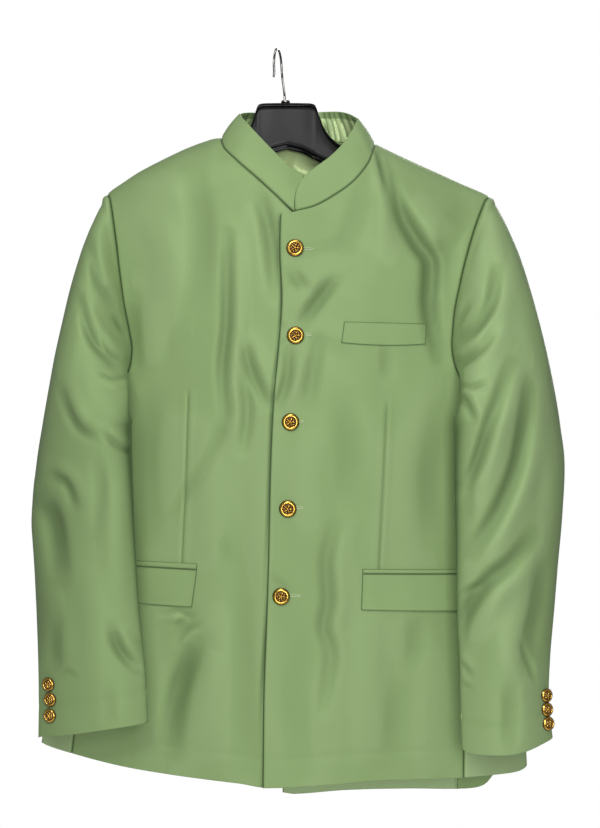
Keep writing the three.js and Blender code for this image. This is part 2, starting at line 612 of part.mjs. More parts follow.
function bodyPiece(name, stations, lift, mitres) {
  const outer = stations.map((row) => row.map(([angle, z]) => {
    return add(bodyPoint(angle, z), bodyNormal(angle, z), lift(angle, z));
  }));
  const cut = trimmed(outer);
  const inner = cut.map((row, r) => row.map((p, c) => {
    const slant = mitres(r, c) || bodyNormal(...stations[r][c]);
    return add(p, slant, -WALL);
  }));
  place(name, shell(cut, inner), CLOTH);
  return outer;
}

const hemZ = (angle) => read(HEM, 'at', 'z', angle / DEG);

// Angle and height of every point of one front or back panel
function panelStations(rows, seamHem, startAngle, hemOf, behind) {
  const stations = [];
  const start = rows.map((row) => angleOf(row.x, row.z, behind));
  if (behind) rows.forEach((row, i) => { if (row.x === 0) start[i] = startAngle(row.z, LOW_ROWS); });
  const end = rows.map((row) => angleOf(row.armX, row.armZ, behind));
  const upper = rows.map((row, k) => {
    const line = [];
    for (let c = 0; c <= PANEL_COLUMNS; c += 1) {
      const u = c / PANEL_COLUMNS;
      const angle = mix(start[k], end[k], u);
      const guess = mix(row.z, row.armZ, u);
      const x = bodyPoint(angle, guess)[0];
      const dropStart = shoulderZ(bodyPoint(start[k], row.z)[0]) - row.z;
      const dropEnd = shoulderZ(bodyPoint(end[k], row.armZ)[0]) - row.armZ;
      const last = k === rows.length - 1;
      let z = shoulderZ(x) - (last ? 0 : mix(dropStart, dropEnd, u));
      if (c === 0 && !last) z = row.z;
      if (c === PANEL_COLUMNS && !last) z = row.armZ;
      line.push([angle, z]);
    }
    return line;
  });
  for (let r = 0; r < LOW_ROWS; r += 1) {
    const t = r / LOW_ROWS;
    const line = [];
    const seam = mix(seamHem * DEG, end[0], t);
    for (let c = 0; c <= PANEL_COLUMNS; c += 1) {
      const u = c / PANEL_COLUMNS;
      const from = startAngle(mix(-900, -415, t), r);
      const angle = mix(from, seam, u);
      const hemAngle = mix(startAngle(-900, 0), seamHem * DEG, u);
      line.push([angle, mix(hemOf(hemAngle), upper[0][c][1], t)]);
    }
    stations.push(line);
  }
  return [...stations, ...upper];
}

const topEdge = (z) => read(TOP_EDGE, 'z', 'x', z);
const smooth = (a, b, v) => {
  const t = Math.min(1, Math.max(0, (v - a) / (b - a)));
  return t * t * (3 - 2 * t);
};

// Neckline slants, shared by the body's edge and the collar's edge
function collarBase(side, behind) {
  const rows = behind ? side.back : side.front;
  return rows.slice(5).map((row, k) => {
    const angle = row.x === 0 ? Math.PI * side.sign : angleOf(row.x, row.z, behind);
    const z = k === 7 ? shoulderZ(bodyPoint(angle, row.z)[0]) : row.z;
    return { point: bodyPoint(angle, z), normal: bodyNormal(angle, z) };
  });
}
const underLift = (x) => -LAP * smooth(-100, -50, x);
const necks = {
  left: collarBase(SIDES.left, false),
  backLeft: collarBase(SIDES.left, true),
  right: collarBase(SIDES.right, false),
  backRight: collarBase(SIDES.right, true),
};
for (const stop of necks.right) stop.point = add(stop.point, stop.normal, underLift(stop.point[0]));
const collarTops = {
  left: COLLAR_TOP_LEFT, backLeft: COLLAR_TOP_BACK_LEFT, right: COLLAR_TOP_RIGHT,
  backRight: COLLAR_TOP_BACK_RIGHT,
};
for (const [name, stops] of Object.entries(necks)) {
  stops.forEach((stop, i) => {
    const top = collarTops[name][i];
    stop.top = [top.x, top.y, top.z];
  });
}
const neckLoop = [
  ...necks.left, ...[...necks.backLeft].reverse().slice(1), ...necks.backRight.slice(1),
  ...[...necks.right].reverse().slice(1),
];
neckLoop.forEach((stop, i) => {
  const before = neckLoop[Math.max(i - 1, 0)].point;
  const after = neckLoop[Math.min(i + 1, neckLoop.length - 1)].point;
  stop.out = unit(cross(sub(after, before), sub(stop.top, stop.point)));
  stop.mitre = unit(add(stop.normal, stop.out));
});
const neckPoint = (name) => necks[name][7];
neckPoint('backLeft').mitre = neckPoint('left').mitre;
neckPoint('right').mitre = neckPoint('backRight').mitre;
necks.backRight[0].mitre = necks.backLeft[0].mitre;

// Fronts and backs
const pieces = [
  {
    name: 'front_left', side: 'left', behind: false, neck: 'left',
    start: (z) => angleOf(topEdge(z), z, false),
    lift: (angle, z) => {
      const x = bodyPoint(angle, z)[0];
      const gape = Math.exp(-(((z + 296) / 26) ** 2)) * smooth(6, -18, x);
      return 2.2 * gape;
    },
  },
  {
    name: 'front_right', side: 'right', behind: false, neck: 'right',
    start: (z) => angleOf(topEdge(z) + UNDER_EDGE_SHIFT, z, false),
    lift: (angle, z) => underLift(bodyPoint(angle, z)[0]),
  },
  {
    name: 'back_left', side: 'left', behind: true, neck: 'backLeft',
    start: () => Math.PI,
    lift: () => 0,
  },
  {
    name: 'back_right', side: 'right', behind: true, neck: 'backRight',
    start: (z, row) => -Math.PI - (row < VENT_ROWS ? VENT_LAP / 300 : 0),
    lift: (angle, z) => {
      const inVent = smooth(-640, -720, z);
      return -LAP * inVent * smooth(-Math.PI + 50 / 300, -Math.PI + 8 / 300, angle);
    },
  },
];
const panelSheets = {};
for (const piece of pieces) {
  const side = SIDES[piece.side];
  const rows = piece.behind ? side.back : side.front;
  const seamHem = (piece.behind ? BACK_SEAM_HEM : FRONT_SEAM_HEM)[piece.side];
  const hemOf = (angle) => (piece.behind ? hemZ(side.sign * Math.min(Math.abs(angle), Math.PI)) : hemZ(angle));
  const stations = panelStations(rows, seamHem, piece.start, hemOf, piece.behind);
  const armOf = (k) => (piece.behind ? side.arm[side.arm.length - 13 + k] : side.arm[12 - k]);
  const mitres = (r, c) => {
    const k = r - LOW_ROWS;
    if (k >= 0 && c === PANEL_COLUMNS) return armOf(k).mitre;
    if (k >= 5 && c === 0) return necks[piece.neck][k - 5].mitre;
    return null;
  };
  panelSheets[piece.name] = bodyPiece(piece.name, stations, piece.lift, mitres);
}

// Side panels
for (const [name, side] of Object.entries(SIDES)) {
  const top = side.arm.slice(12, 12 + SIDE_COLUMNS + 1);
  const stations = [];
  for (let r = 0; r <= LOW_ROWS; r += 1) {
    const t = r / LOW_ROWS;
    stations.push(top.map((stop, c) => {
      const hemAngle = mix(FRONT_SEAM_HEM[name], BACK_SEAM_HEM[name], c / SIDE_COLUMNS) * DEG;
      return [mix(hemAngle, stop.angle, t), mix(hemZ(hemAngle), stop.z, t)];
    }));
  }
  bodyPiece(`side_${name}`, stations, () => 0, (r, c) => (r === LOW_ROWS ? top[c].mitre : null));
}

// Sleeves, each in a top sleeve and an under sleeve
for (const [name, side] of Object.entries(SIDES)) {
  const last = side.arm.length - 1;
  const from = side.arm.findIndex((stop) => stop.round === TOP_SLEEVE_FROM);
  const to = side.arm.findIndex((stop) => stop.round === TOP_SLEEVE_TO);
  const columns = {
    top_sleeve: [...Array(last - from).keys()].map((i) => from + i).concat([...Array(to + 1).keys()]),
    under_sleeve: [...Array(from - to + 1).keys()].map((i) => to + i),
  };
  for (const [kind, list] of Object.entries(columns)) {
    const outer = side.sheet.map((row) => list.map((c) => row[c]));
    const cut = trimmed(outer);
    const inner = cut.map((row, r) => row.map((p, c) => {
      const slant = r === 0 ? side.arm[list[c]].mitre : side.normals[r][list[c]];
      return add(p, slant, -WALL);
    }));
    place(`${kind}_${name}`, shell(cut, inner), CLOTH);
  }
}

// Collar and its inner face
function collarPiece(name, depth, wall, look, from, to) {
  const outer = [];
  const inner = [];
  for (let r = 0; r <= COLLAR_ROWS; r += 1) {
    const t = mix(from, to, r / COLLAR_ROWS);
    outer.push([]);
    inner.push([]);
    neckLoop.forEach((stop) => {
      const base = add(stop.point, stop.mitre, -depth);
      const deep = add(stop.point, stop.mitre, -depth - wall);
      const swell = 1.5 * Math.sin(Math.PI * t);
      const top = add(stop.top, stop.out, -depth);
      const p = [0, 1, 2].map((i) => mix(base[i], top[i], t));
      const q = [0, 1, 2].map((i) => mix(deep[i], top[i] - stop.out[i] * wall, t));
      outer[r].push(add(p, stop.out, swell));
      inner[r].push(add(q, stop.out, swell));
    });
  }
  const trimAt = (sheet) => {
    const out = trimmed(sheet);
    out[out.length - 1] = sheet[out.length - 1].map((p) => [...p]);
    return out;
  };
  place(name, shell(trimAt(outer), trimAt(inner)), look);
}
collarPiece('collar', 0, COLLAR_WALL, CLOTH, 0, 1);
collarPiece('collar_lining', COLLAR_WALL + 0.5, COLLAR_LINING_WALL, CLOTH, 0.08, 0.97);

// Satin lining inside the back of the neck
{
  const outer = [];
  const inner = [];
  const ROWS = 7;
  const COLUMNS = 14;
  const HALF_ANGLE = 19;
  for (let r = 0; r <= ROWS; r += 1) {
    outer.push([]);
    inner.push([]);
    for (let c = 0; c <= COLUMNS; c += 1) {
      const angle = Math.PI + mix(HALF_ANGLE, -HALF_ANGLE, c / COLUMNS) * DEG;
      const z = mix(-118, -235, r / ROWS);
      const normal = bodyNormal(angle, z);
      const ripple = 1.1 * (1 + Math.sin(c * 2.1)) * smooth(-235, -118, z);
      const gather = 0.2 + ripple + 2.6 * smooth(-215, -150, z);
      outer[r].push(add(bodyPoint(angle, z), normal, -WALL - ON_CLOTH - gather));
      inner[r].push(add(bodyPoint(angle, z), normal, -WALL - ON_CLOTH - gather - LINING_WALL));
    }
  }
  place('neck_lining', shell(outer, inner), SATIN);
}

// Chest welt, pocket jets and flaps, laid on the body
function laidPiece(name, size, wall, columns, rows, flare = 0) {
  const outer = [];
  const inner = [];
  for (let r = 0; r <= rows; r += 1) {
    const v = r / rows;
    outer.push([]);
    inner.push([]);
    for (let c = 0; c <= columns; c += 1) {
      const u = c / columns;
      const x = mix(mix(size.in[0], size.in[1], v), mix(size.out[0], size.out[1], v), u);
      const sag = size.bow * 4 * u * (1 - u);
      const z = mix(mix(size.top[0], size.top[1], u), mix(size.low[0], size.low[1], u), v) - sag * v;
      const angle = angleOf(x, z, false);
      const normal = bodyNormal(angle, z);
      const base = ON_CLOTH + flare * v;
      inner[r].push(add(bodyPoint(angle, z), normal, base));
      outer[r].push(add(bodyPoint(angle, z), normal, base + wall));
    }
  }
  place(name, shell(outer, inner), CLOTH);
}
laidPiece('chest_welt', WELT, WELT_WALL, 8, 2);
laidPiece('jet_left', JET_LEFT, JET_WALL, 10, 1);
laidPiece('flap_left', FLAP_LEFT, FLAP_WALL, 10, 3, 0.8);
laidPiece('jet_right', JET_RIGHT, JET_WALL, 10, 1);
laidPiece('flap_right', FLAP_RIGHT, FLAP_WALL, 10, 3, 0.8);

// Shank buttons, domed, in a raised rim
function button(name, at, normal, radius, segments, gap) {
  const r = radius;
  const profile = [
    [0, 0], [2.6, 0], [2.6, 0.16 * r], [0.86 * r, 0.2 * r], [r, 0.32 * r], [r, 0.44 * r],
    [0.9 * r, 0.5 * r], [0.62 * r, 0.6 * r], [0.3 * r, 0.67 * r], [0, 0.69 * r],
  ].map(([x, y]) => new THREE.Vector2(x, y));
  const geometry = new THREE.LatheGeometry(profile, segments);
  const turn = new THREE.Quaternion();
  turn.setFromUnitVectors(new THREE.Vector3(0, 1, 0), new THREE.Vector3(...normal));
  geometry.applyQuaternion(turn);
  const spot = add(at, normal, gap);
  geometry.translate(spot[0] - HOOK_FROM_CENTRE, spot[1], spot[2]);
  const mesh = new THREE.Mesh(geometry, new THREE.MeshStandardMaterial({ ...GOLD, name }));
  mesh.name = name;
  group.add(mesh);
}
FRONT_BUTTONS.forEach((spot, i) => {
  const angle = angleOf(spot.x, spot.z, false);
  const normal = bodyNormal(angle, spot.z);
  button(`front_button_${i + 1}`, bodyPoint(angle, spot.z), normal, FRONT_BUTTON_RADIUS, 20, 0.3);
});
for (const [name, list] of [['left', CUFF_BUTTONS_LEFT], ['right', CUFF_BUTTONS_RIGHT]]) {
  const side = SIDES[name];
  list.forEach((spot, i) => {
    const at = sleeveRing(side.sleeve, spot.round, spot.z);
    const around = sub(sleeveRing(side.sleeve, spot.round + 1, spot.z), at);
    const down = sub(sleeveRing(side.sleeve, spot.round, spot.z - 1), at);
    const normal = unit(cross(around, down).map((v) => v * side.sign));
    button(`cuff_button_${name}_${i + 1}`, at, normal, CUFF_BUTTON_RADIUS, 14, 0.7);
  });
}

// Hanger: one moulded piece whose arms fill out the shoulders
function roomInside(x, z, face) {
  if (Math.abs(x) < 100) return Infinity;
  const s = (x - read(BODY, 'z', 'centre', z)) / read(BODY, 'z', 'half', z);
  const drop = Math.min(1, Math.max(0, shoulderZ(x) - z) / SHOULDER_ROUND);
  const turn = Math.sqrt(1 - (1 - drop) ** 2);
  const depth = read(BODY, 'z', face, z) * (1 - s * s) ** (SIDE_SHARPNESS / 2) * turn;
  return Math.max(0.5, depth - WALL - HANGER_AIR);
}
{
  const rings = [];
  const stops = [...HANGER].reverse().map((row) => ({ ...row, off: -row.off })).concat(HANGER.slice(1));
  for (const row of stops) {
    const x = HANGER_X + row.off;
    const limit = Math.abs(x) > 88 ? shoulderZ(x) - HANGER_CLEAR : 0;
    const top = Math.min(row.top, limit);
    const low = row.low;
    const h = row.half;
    const lip = h + HANGER_LIP.proud;
    const half = [];
    const crown = Math.min(h * 0.9, (top - low) * 0.4);
    for (let k = 0; k <= 4; k += 1) {
      const a = (k / 4) * Math.PI / 2;
      half.push([h * Math.sin(a), top - crown * (1 - Math.cos(a))]);
    }
    half.push([h, low + HANGER_LIP.high]);
    half.push([lip, low + HANGER_LIP.high - 1]);
    half.push([lip, low + 1]);
    half.push([lip - 1.2, low]);
    const ring = half.map(([y, z]) => [x, -Math.min(y, roomInside(x, z, 'front')), z]);
    for (const [y, z] of half.slice(1).reverse()) ring.push([x, Math.min(y, roomInside(x, z, 'back')), z]);
    rings.push(ring);
  }
  place('hanger', loft(rings), PLASTIC);
}

// Hook and its cap
{
  const cap = new THREE.CylinderGeometry(CAP.radius, CAP.radius, CAP.top - CAP.low, 20);
  cap.rotateX(Math.PI / 2);
  cap.translate(CAP.x - HOOK_FROM_CENTRE, 0, (CAP.top + CAP.low) / 2);
  const mesh = new THREE.Mesh(cap, new THREE.MeshStandardMaterial({ ...CHROME, name: 'hook_cap' }));
  mesh.name = 'hook_cap';
  group.add(mesh);
  const path = new THREE.CatmullRomCurve3(HOOK.map((p) => new THREE.Vector3(p.x, p.y, p.z)));
  const STEPS = 40;
  const SIDES_OF_WIRE = 8;
  const rings = [];
  let across = new THREE.Vector3(1, 0, 0);
  for (let i = 0; i <= STEPS; i += 1) {
    const at = path.getPoint(i / STEPS);
    const way = path.getTangent(i / STEPS);
    across = across.clone().addScaledVector(way, -across.dot(way)).normalize();
    const other = new THREE.Vector3().crossVectors(way, across);
    const ring = [];
    for (let k = 0; k < SIDES_OF_WIRE; k += 1) {
      const a = (k / SIDES_OF_WIRE) * 2 * Math.PI;
      const p = at.clone().addScaledVector(across, WIRE * Math.cos(a));
      p.addScaledVector(other, WIRE * Math.sin(a));
      ring.push([p.x, p.y, p.z]);
    }
    rings.push(ring);
  }
  place('hook', loft(rings), CHROME);
}

export default group;
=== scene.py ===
"""Bandhgala jacket in sage green suiting, buttoned, on a black suit hanger with a wire hook."""
import math

import bpy
import numpy as np
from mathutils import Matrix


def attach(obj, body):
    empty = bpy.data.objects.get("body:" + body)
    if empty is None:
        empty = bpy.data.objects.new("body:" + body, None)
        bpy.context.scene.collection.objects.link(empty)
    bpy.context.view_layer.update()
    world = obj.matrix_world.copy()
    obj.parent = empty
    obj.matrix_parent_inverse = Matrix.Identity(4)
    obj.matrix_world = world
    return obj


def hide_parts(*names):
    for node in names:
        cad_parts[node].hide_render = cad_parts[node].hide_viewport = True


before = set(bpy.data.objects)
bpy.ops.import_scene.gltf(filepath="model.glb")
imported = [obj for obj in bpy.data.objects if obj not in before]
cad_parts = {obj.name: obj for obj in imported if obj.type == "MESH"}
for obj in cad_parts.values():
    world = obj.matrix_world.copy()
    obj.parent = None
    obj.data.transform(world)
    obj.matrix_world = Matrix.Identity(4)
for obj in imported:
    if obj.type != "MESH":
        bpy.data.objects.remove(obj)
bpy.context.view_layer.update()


# The studio: a level camera straight in front of the jacket, large soft lights before it, above
# it and behind it, and a pale round floor well below the hems. It hangs before plain white.
CAMERA_AT = (0.0272, -2.45, -0.4456)
CAMERA_LENS = 120
FLOOR_Z = -1.2
FLOOR_RADIUS = 0.6
LIGHTS = [  # name, place, width, height, watts
    ("key", (-0.6, -2.1, 1.0), 0.9, 0.9, 21),
    ("front", (0.5, -2.9, 0.1), 1.0, 1.0, 18),
    ("low", (0.4, -2.7, -0.75), 1.2, 0.7, 17),
    ("top", (0.1, -0.1, 1.5), 1.2, 0.6, 7),
    ("back", (0.5, 2.4, 0.4), 1.6, 1.6, 24),
]

scene = bpy.context.scene
scene.view_settings.view_transform = "Standard"
scene.view_settings.look = "None"
camera = bpy.data.objects.new("camera", bpy.data.cameras.new("camera"))
camera.data.lens = CAMERA_LENS
camera.data.sensor_width = 36
camera.data.sensor_fit = "HORIZONTAL"
camera.location = CAMERA_AT
camera.rotation_euler = (math.pi / 2, 0, 0)
scene.collection.objects.link(camera)
scene.camera = camera

for name, place, width, height, watts in LIGHTS:
    lamp = bpy.data.lights.new(name, "AREA")
    lamp.shape, lamp.size, lamp.size_y, lamp.energy = "RECTANGLE", width, height, watts
    light = bpy.data.objects.new(name, lamp)
    light.location = place
    aim = np.array([0.03, 0.0, -0.46]) - np.array(place)
    light.rotation_euler = (
        math.atan2(math.hypot(aim[0], aim[1]), -aim[2]), 0, math.atan2(-aim[0], aim[1]))
    scene.collection.objects.link(light)

world = bpy.data.worlds.new("white")
scene.world = world
world.use_nodes = True
air = world.node_tree
air.nodes.clear()
seen = air.nodes.new("ShaderNodeBackground")
seen.inputs["Color"].default_value = (1, 1, 1, 1)
lit = air.nodes.new("ShaderNodeBackground")
lit.inputs["Color"].default_value = (0.95, 0.97, 1, 1)
lit.inputs["Strength"].default_value = 0.19
rays = air.nodes.new("ShaderNodeLightPath")
both = air.nodes.new("ShaderNodeMixShader")
out = air.nodes.new("ShaderNodeOutputWorld")
air.links.new(rays.outputs["Is Camera Ray"], both.inputs[0])
air.links.new(lit.outputs[0], both.inputs[1])
air.links.new(seen.outputs[0], both.inputs[2])
air.links.new(both.outputs[0], out.inputs[0])


class Link:
    """An output of a shader node. Sums, differences and products with it add Math nodes."""

    def __init__(self, look, socket):
        self.look, self.socket = look, socket

    def math(self, operation, *others):
        return self.look.node("Math", {"operation": operation}, dict(enumerate([self, *others])))

    def flipped(self, operation, other):
        return self.look.node("Math", {"operation": operation}, {0: other, 1: self})

    def __add__(self, other):
        return self.math("ADD", other)

    def __radd__(self, other):
        return self.math("ADD", other)

    def __mul__(self, other):
        return self.math("MULTIPLY", other)

    def __rmul__(self, other):
        return self.math("MULTIPLY", other)

    def __sub__(self, other):
        return self.math("SUBTRACT", other)

    def __rsub__(self, other):
        return self.flipped("SUBTRACT", other)


class Look:
    """A material in the making, with one Principled shader."""

    def __init__(self, name, **finish):
        self.material = bpy.data.materials.new(name)
        self.material.use_nodes = True
        self.tree = self.material.node_tree
        self.tree.nodes.clear()
        self.shader = self.tree.nodes.new("ShaderNodeBsdfPrincipled")
        end = self.tree.nodes.new("ShaderNodeOutputMaterial")
        self.tree.links.new(self.shader.outputs[0], end.inputs[0])
        self.set(self.shader, {key.replace("_", " "): value for key, value in finish.items()})

    def set(self, node, values):
        for key, value in values.items():
            if isinstance(value, Link):
                self.tree.links.new(value.socket, node.inputs[key])
            else:
                node.inputs[key].default_value = value

    def node(self, kind, settings=None, values=None, output=0):
        node = self.tree.nodes.new("ShaderNode" + kind)
        for key, value in (settings or {}).items():
            setattr(node, key, value)
        self.set(node, values or {})
        return Link(self, node.outputs[output])

    def finish(self, values):
        self.set(self.shader, values)
        return self.material

    def noise(self, place, scale, detail=2.0):
        return self.node("TexNoise", {}, {"Vector": place, "Scale": scale, "Detail": detail})

    def blend(self, amount, first, second):
        return self.node("Mix", {"data_type": "RGBA"}, {0: amount, 6: first, 7: second}, 2)

    def bump(self, height, strength, distance):
        return self.node(
            "Bump", {}, {"Height": height, "Strength": strength, "Distance": distance})


floor_look = Look("floor_paper", Roughness=0.9)
paper = floor_look.node("TexCoord", output=3)
tone = floor_look.noise(paper, 3.0)
floor_look.finish({
    "Base Color": floor_look.blend(tone, (0.93, 0.93, 0.93, 1), (0.97, 0.97, 0.97, 1)),
})
bpy.ops.mesh.primitive_circle_add(vertices=96, radius=FLOOR_RADIUS, fill_type="NGON")
floor = bpy.context.object
floor.name = "floor"
for corner in floor.data.vertices:
    corner.co.z = FLOOR_Z
floor.data.materials.append(floor_look.material)


# Fronts and backs: four panels of sage suiting with canvas behind it, joined by seams at the
# shoulders, sides and centre back. The wearer's left front laps over the right, the back has a
# centre vent. Millimetres from the jacket's centre line; z is the height under the hook's bend.
HOOK_FROM_CENTRE = -24
CLOTH_WALL = 1.7
FIRST_HALF_WIDTH = 250  # where the search for a point on the body starts
SHOULDER_ROUND = 70  # the drop over which the body turns over the hanger
SIDE_SHARPNESS = 1.3
LAP = 2.9  # the lower layer of a lap sits this far inside the upper one
BODY = [  # z, centre, half width, depth in front, depth behind
    (-60, 0, 268, 56, 42), (-200, 0, 268, 58, 44), (-300, 0, 268, 62, 47), (-440, 0, 268, 62, 46),
    (-560, -5, 266, 57, 43), (-700, -11, 279, 53, 42), (-800, -15, 292, 51, 42),
    (-890, -18, 300, 49, 43), (-940, -19, 302, 49, 43),
]
SHOULDER = [  # x, z
    (-240, -183), (-227, -171.5), (-216, -164), (-193, -149), (-160, -132), (-133, -119.5),
    (-105, -109.5), (-93, -107), (-60, -92), (0, -74), (60, -95), (95, -114.8), (135, -134.2),
    (168, -149), (201, -164), (227, -175), (240, -182),
]
HEM = [  # angle round the body from the front, z; behind on the left the back hangs lower
    (-180, -890), (-150, -872), (-120, -856), (-90, -848), (-75, -851), (-58, -859), (-38, -873),
    (-20, -884), (-10, -890), (-4, -895), (12, -891), (23, -887), (43, -886), (60, -884),
    (73, -882), (90, -876), (104, -876), (114, -880), (119, -886), (122, -898), (126, -906),
    (134, -909.5), (150, -911), (165, -914), (177, -919), (180, -917),
]
PANELS = {  # rows upward: x and z at the front edge, centre back or neckline, then at the armhole
    "front_left": [
        (-27.5, -415, 212, -420), (-22.5, -362, 194, -396), (-19, -308, 187, -370),
        (-21.5, -256, 187.5, -344), (-20.6, -206.5, 190, -320), (-3.4, -203, 195, -295),
        (20, -196.6, 201, -268), (44, -183.5, 208, -242), (68, -165.5, 216, -217),
        (85, -144, 224, -197), (92.5, -125, 230.5, -184), (94.6, -117.2, 234, -181.2),
        (95, -114.8, 235, -179.3),
    ],
    "front_right": [
        (9, -415, -222, -420), (12, -362, -206, -396), (14, -308, -201.5, -370),
        (14, -256, -205, -344), (14, -210, -209, -320), (-4.2, -204, -212.5, -295),
        (-28, -181, -216, -268), (-51, -160, -219, -242), (-70, -143, -222.5, -217),
        (-86, -127, -226, -196), (-91.5, -116.5, -230, -181), (-92.7, -109.4, -232.5, -178),
        (-93, -107, -233.5, -176.9),
    ],
    "back_left": [
        (0, -415, 216, -408), (0, -354, 206, -385), (0, -293, 200, -355), (0, -232, 198, -325),
        (0, -171, 200, -295), (0, -110, 204, -265), (22, -110, 210, -238), (45, -110.5, 217, -215),
        (66, -112, 224, -197), (82, -114.5, 229, -186.5), (90, -117, 232.5, -182.5),
        (94, -117, 234.5, -181.2), (95, -114.8, 235, -179.3),
    ],
    "back_right": [
        (0, -415, -226, -408), (0, -354, -218, -385), (0, -293, -212, -355),
        (0, -232, -209, -325), (0, -171, -209, -295), (0, -110, -211, -265),
        (-22, -109.5, -215, -238), (-45, -109, -219, -215), (-66, -109, -223.5, -195),
        (-80, -110, -228, -184), (-88, -110.5, -231, -179.5), (-92.4, -109.4, -233, -178),
        (-93, -107, -233.5, -176.9),
    ],
}
UNDERARM = {  # bottom of the armhole: angle round the body, z
    "left": [(62, -431), (73, -438), (88, -440), (104, -436), (115, -425)],
    "right": [(-64, -431), (-74, -438), (-88, -440), (-103, -436), (-113, -425)],
}
SIDE_SEAM_AT_HEM = {"left": (47, 134), "right": (-60, -134)}
FRONT_STOP, BACK_STOP, LAST_STOP = 12, 18, 30  # of the armhole: side panel from, to; shoulder
NECK_CORNER = {"front": 4, "back": 5}  # row of PANELS at which the edge turns into the neckline
TOP_EDGE = [  # front edge on top: z, x
    (-415, -27.5), (-452, -30), (-512, -32.5), (-619, -35), (-690, -37.3), (-786, -40.8),
    (-900, -42),
]
FRONT_EDGE_ABOVE = [(-362, -22.5), (-308, -19), (-256, -21.5), (-206, -20.6)]
UNDER_EDGE_SHIFT = 36.5
VENT_LAP = 34
SKIRT_LOW, SKIRT_TOP = -900, -415  # heights between which a panel has its skirt's rows
SKIRT_LONG, CHEST_LONG = 475, 430
PANEL_WIDE = {"front": 235, "back": 268}
HEM_TURN_UP = 38  # the hem's own cloth shows inside up to here, and lining above
HEM_STITCH = 34  # height of the stitches that hold the turned-up hem
FLAT_CUT = {"front": (0.31, 0.80), "back": (0.30, 0.85)}  # metres, width and length
CUT_SHARE = 0.80  # of that rectangle, left after the shoulder and armhole are cut away
DARTS = [  # x and z down the dart, wearer's left and right
    [(107.5, -431.6), (103.2, -524.6), (98.2, -628.6)],
    [(-130.7, -416), (-134.2, -524.6), (-138.7, -618.8)],
]

# Creases of the fronts, down or across the cloth: points, half width, rise, and the side on
# which the cloth swells again beside it (1 is the wearer's left of a line that runs down).
FRONT_CREASES = [
    ([(101, -128), (113, -172), (127, -209), (144, -238), (159, -260), (160, -285), (159, -313),
      (163, -345), (172, -377)], 10.5, -8.4, 0),
    ([(97, -124), (102, -146), (108, -178)], 4.2, -3.4, -1),
    ([(101, -144), (103, -184), (103, -222), (112, -256)], 13, 3.4, 0),
    ([(89, -152), (75, -202), (55, -260)], 14.9, -1.9, 1),
    ([(6, -338), (27, -307), (47, -285)], 8.5, -5.5, 1),
    ([(44, -580), (35, -621), (37, -670), (32, -702), (40, -737), (31, -800)], 8.5, -3.6, 1),
    ([(107, -364), (107, -403)], 7.5, -1.6, 0),
    ([(143, -690), (143, -745)], 11.6, -1.3, -1),
    ([(116, -780), (116, -866)], 12.8, -1.4, 1),
    ([(87, -686), (88, -763), (89, -850)], 19, 2.0, 0),
    ([(57, -429), (63, -489), (62, -548)], 14.9, -1.7, 1),
    ([(3, -250), (39, -244), (63, -232)], 9.5, -1.2, -1),
    ([(-2, -351), (39, -363), (65, -372)], 9.5, -0.9, 1),
    ([(-9, -368), (-12, -405), (-25, -440)], 6, -3.6, 1),
    ([(28, -350), (19, -395), (13, -435)], 8.5, -2.2, -1),
    ([(-9, -275), (3, -288), (13, -303)], 7, -2.6, 1),
    ([(-13, -343), (-23, -336)], 2.6, -1.4, 0),
    ([(-13, -356), (-22, -362)], 2.4, -1.2, 0),
    ([(-12, -657), (-30, -640)], 3, -1.3, 0),
    ([(-126, -690), (-146, -683), (-164, -688)], 3.6, -2.2, 1),
    ([(-118, -697), (-134, -706), (-147, -720)], 4.2, -2.4, 1),
    ([(-136, -690), (-150, -702)], 3, -1.8, -1),
    ([(170, -453), (161, -524), (166, -596)], 18, -2.3, -1),
    ([(3, -716), (-2, -787), (3, -876)], 14.9, -1.2, 1),
    ([(159, -728), (166, -811), (161, -878)], 20.2, 1.9, 0),
    ([(135, -190), (170, -220), (197, -233)], 15.4, 2.8, 0),
    ([(194, -202), (182, -244), (170, -309)], 14.9, -2.3, 1),
    ([(20, -460), (8, -520), (14, -590)], 17.9, 1.6, 0),
    ([(-84, -230), (-84, -330), (-89, -390), (-86, -448)], 7.5, -4.8, 1),
    ([(-82, -440), (-104, -490), (-131, -536), (-157, -574)], 8.5, -2.0, 1),
    ([(-44, -186), (-33, -232), (-26, -300)], 8.5, -3.6, -1),
    ([(-64, -362), (-54, -395), (-37, -434)], 6.5, -4.4, 1),
    ([(-67, -392), (-60, -440), (-65, -490)], 7, -3.0, -1),
    ([(-200, -309), (-199, -351), (-196, -395)], 11.6, -3.8, 1),
    ([(-159, -711), (-140, -697), (-126, -684)], 8.5, -1.2, 1),
    ([(-122, -722), (-135, -757), (-143, -787), (-153, -852)], 14.1, -7.2, 1),
    ([(-91, -593), (-86, -630)], 8.5, -0.8, 0),
    ([(-98, -668), (-94, -763), (-98, -868)], 19, 1.8, 0),
    ([(-65, -620), (-67, -740), (-63, -868)], 13.8, -1.2, 1),
    ([(-176, -202), (-158, -262), (-164, -345)], 19, 2.2, 0),
    ([(-128, -150), (-116, -226), (-121, -309)], 16, -2.2, -1),
    ([(-116, -440), (-109, -548), (-113, -620)], 16.7, 1.9, 0),
    ([(-176, -740), (-181, -787), (-176, -852)], 16.7, 1.6, 0),
    ([(-51, -489), (-47, -572), (-52, -656)], 15.4, 1.7, 0),
    ([(-205, -560), (-214, -680), (-206, -830)], 19.1, -2.3, -1),
    ([(-176, -430), (-184, -500), (-178, -590)], 16, -1.9, 1),
]
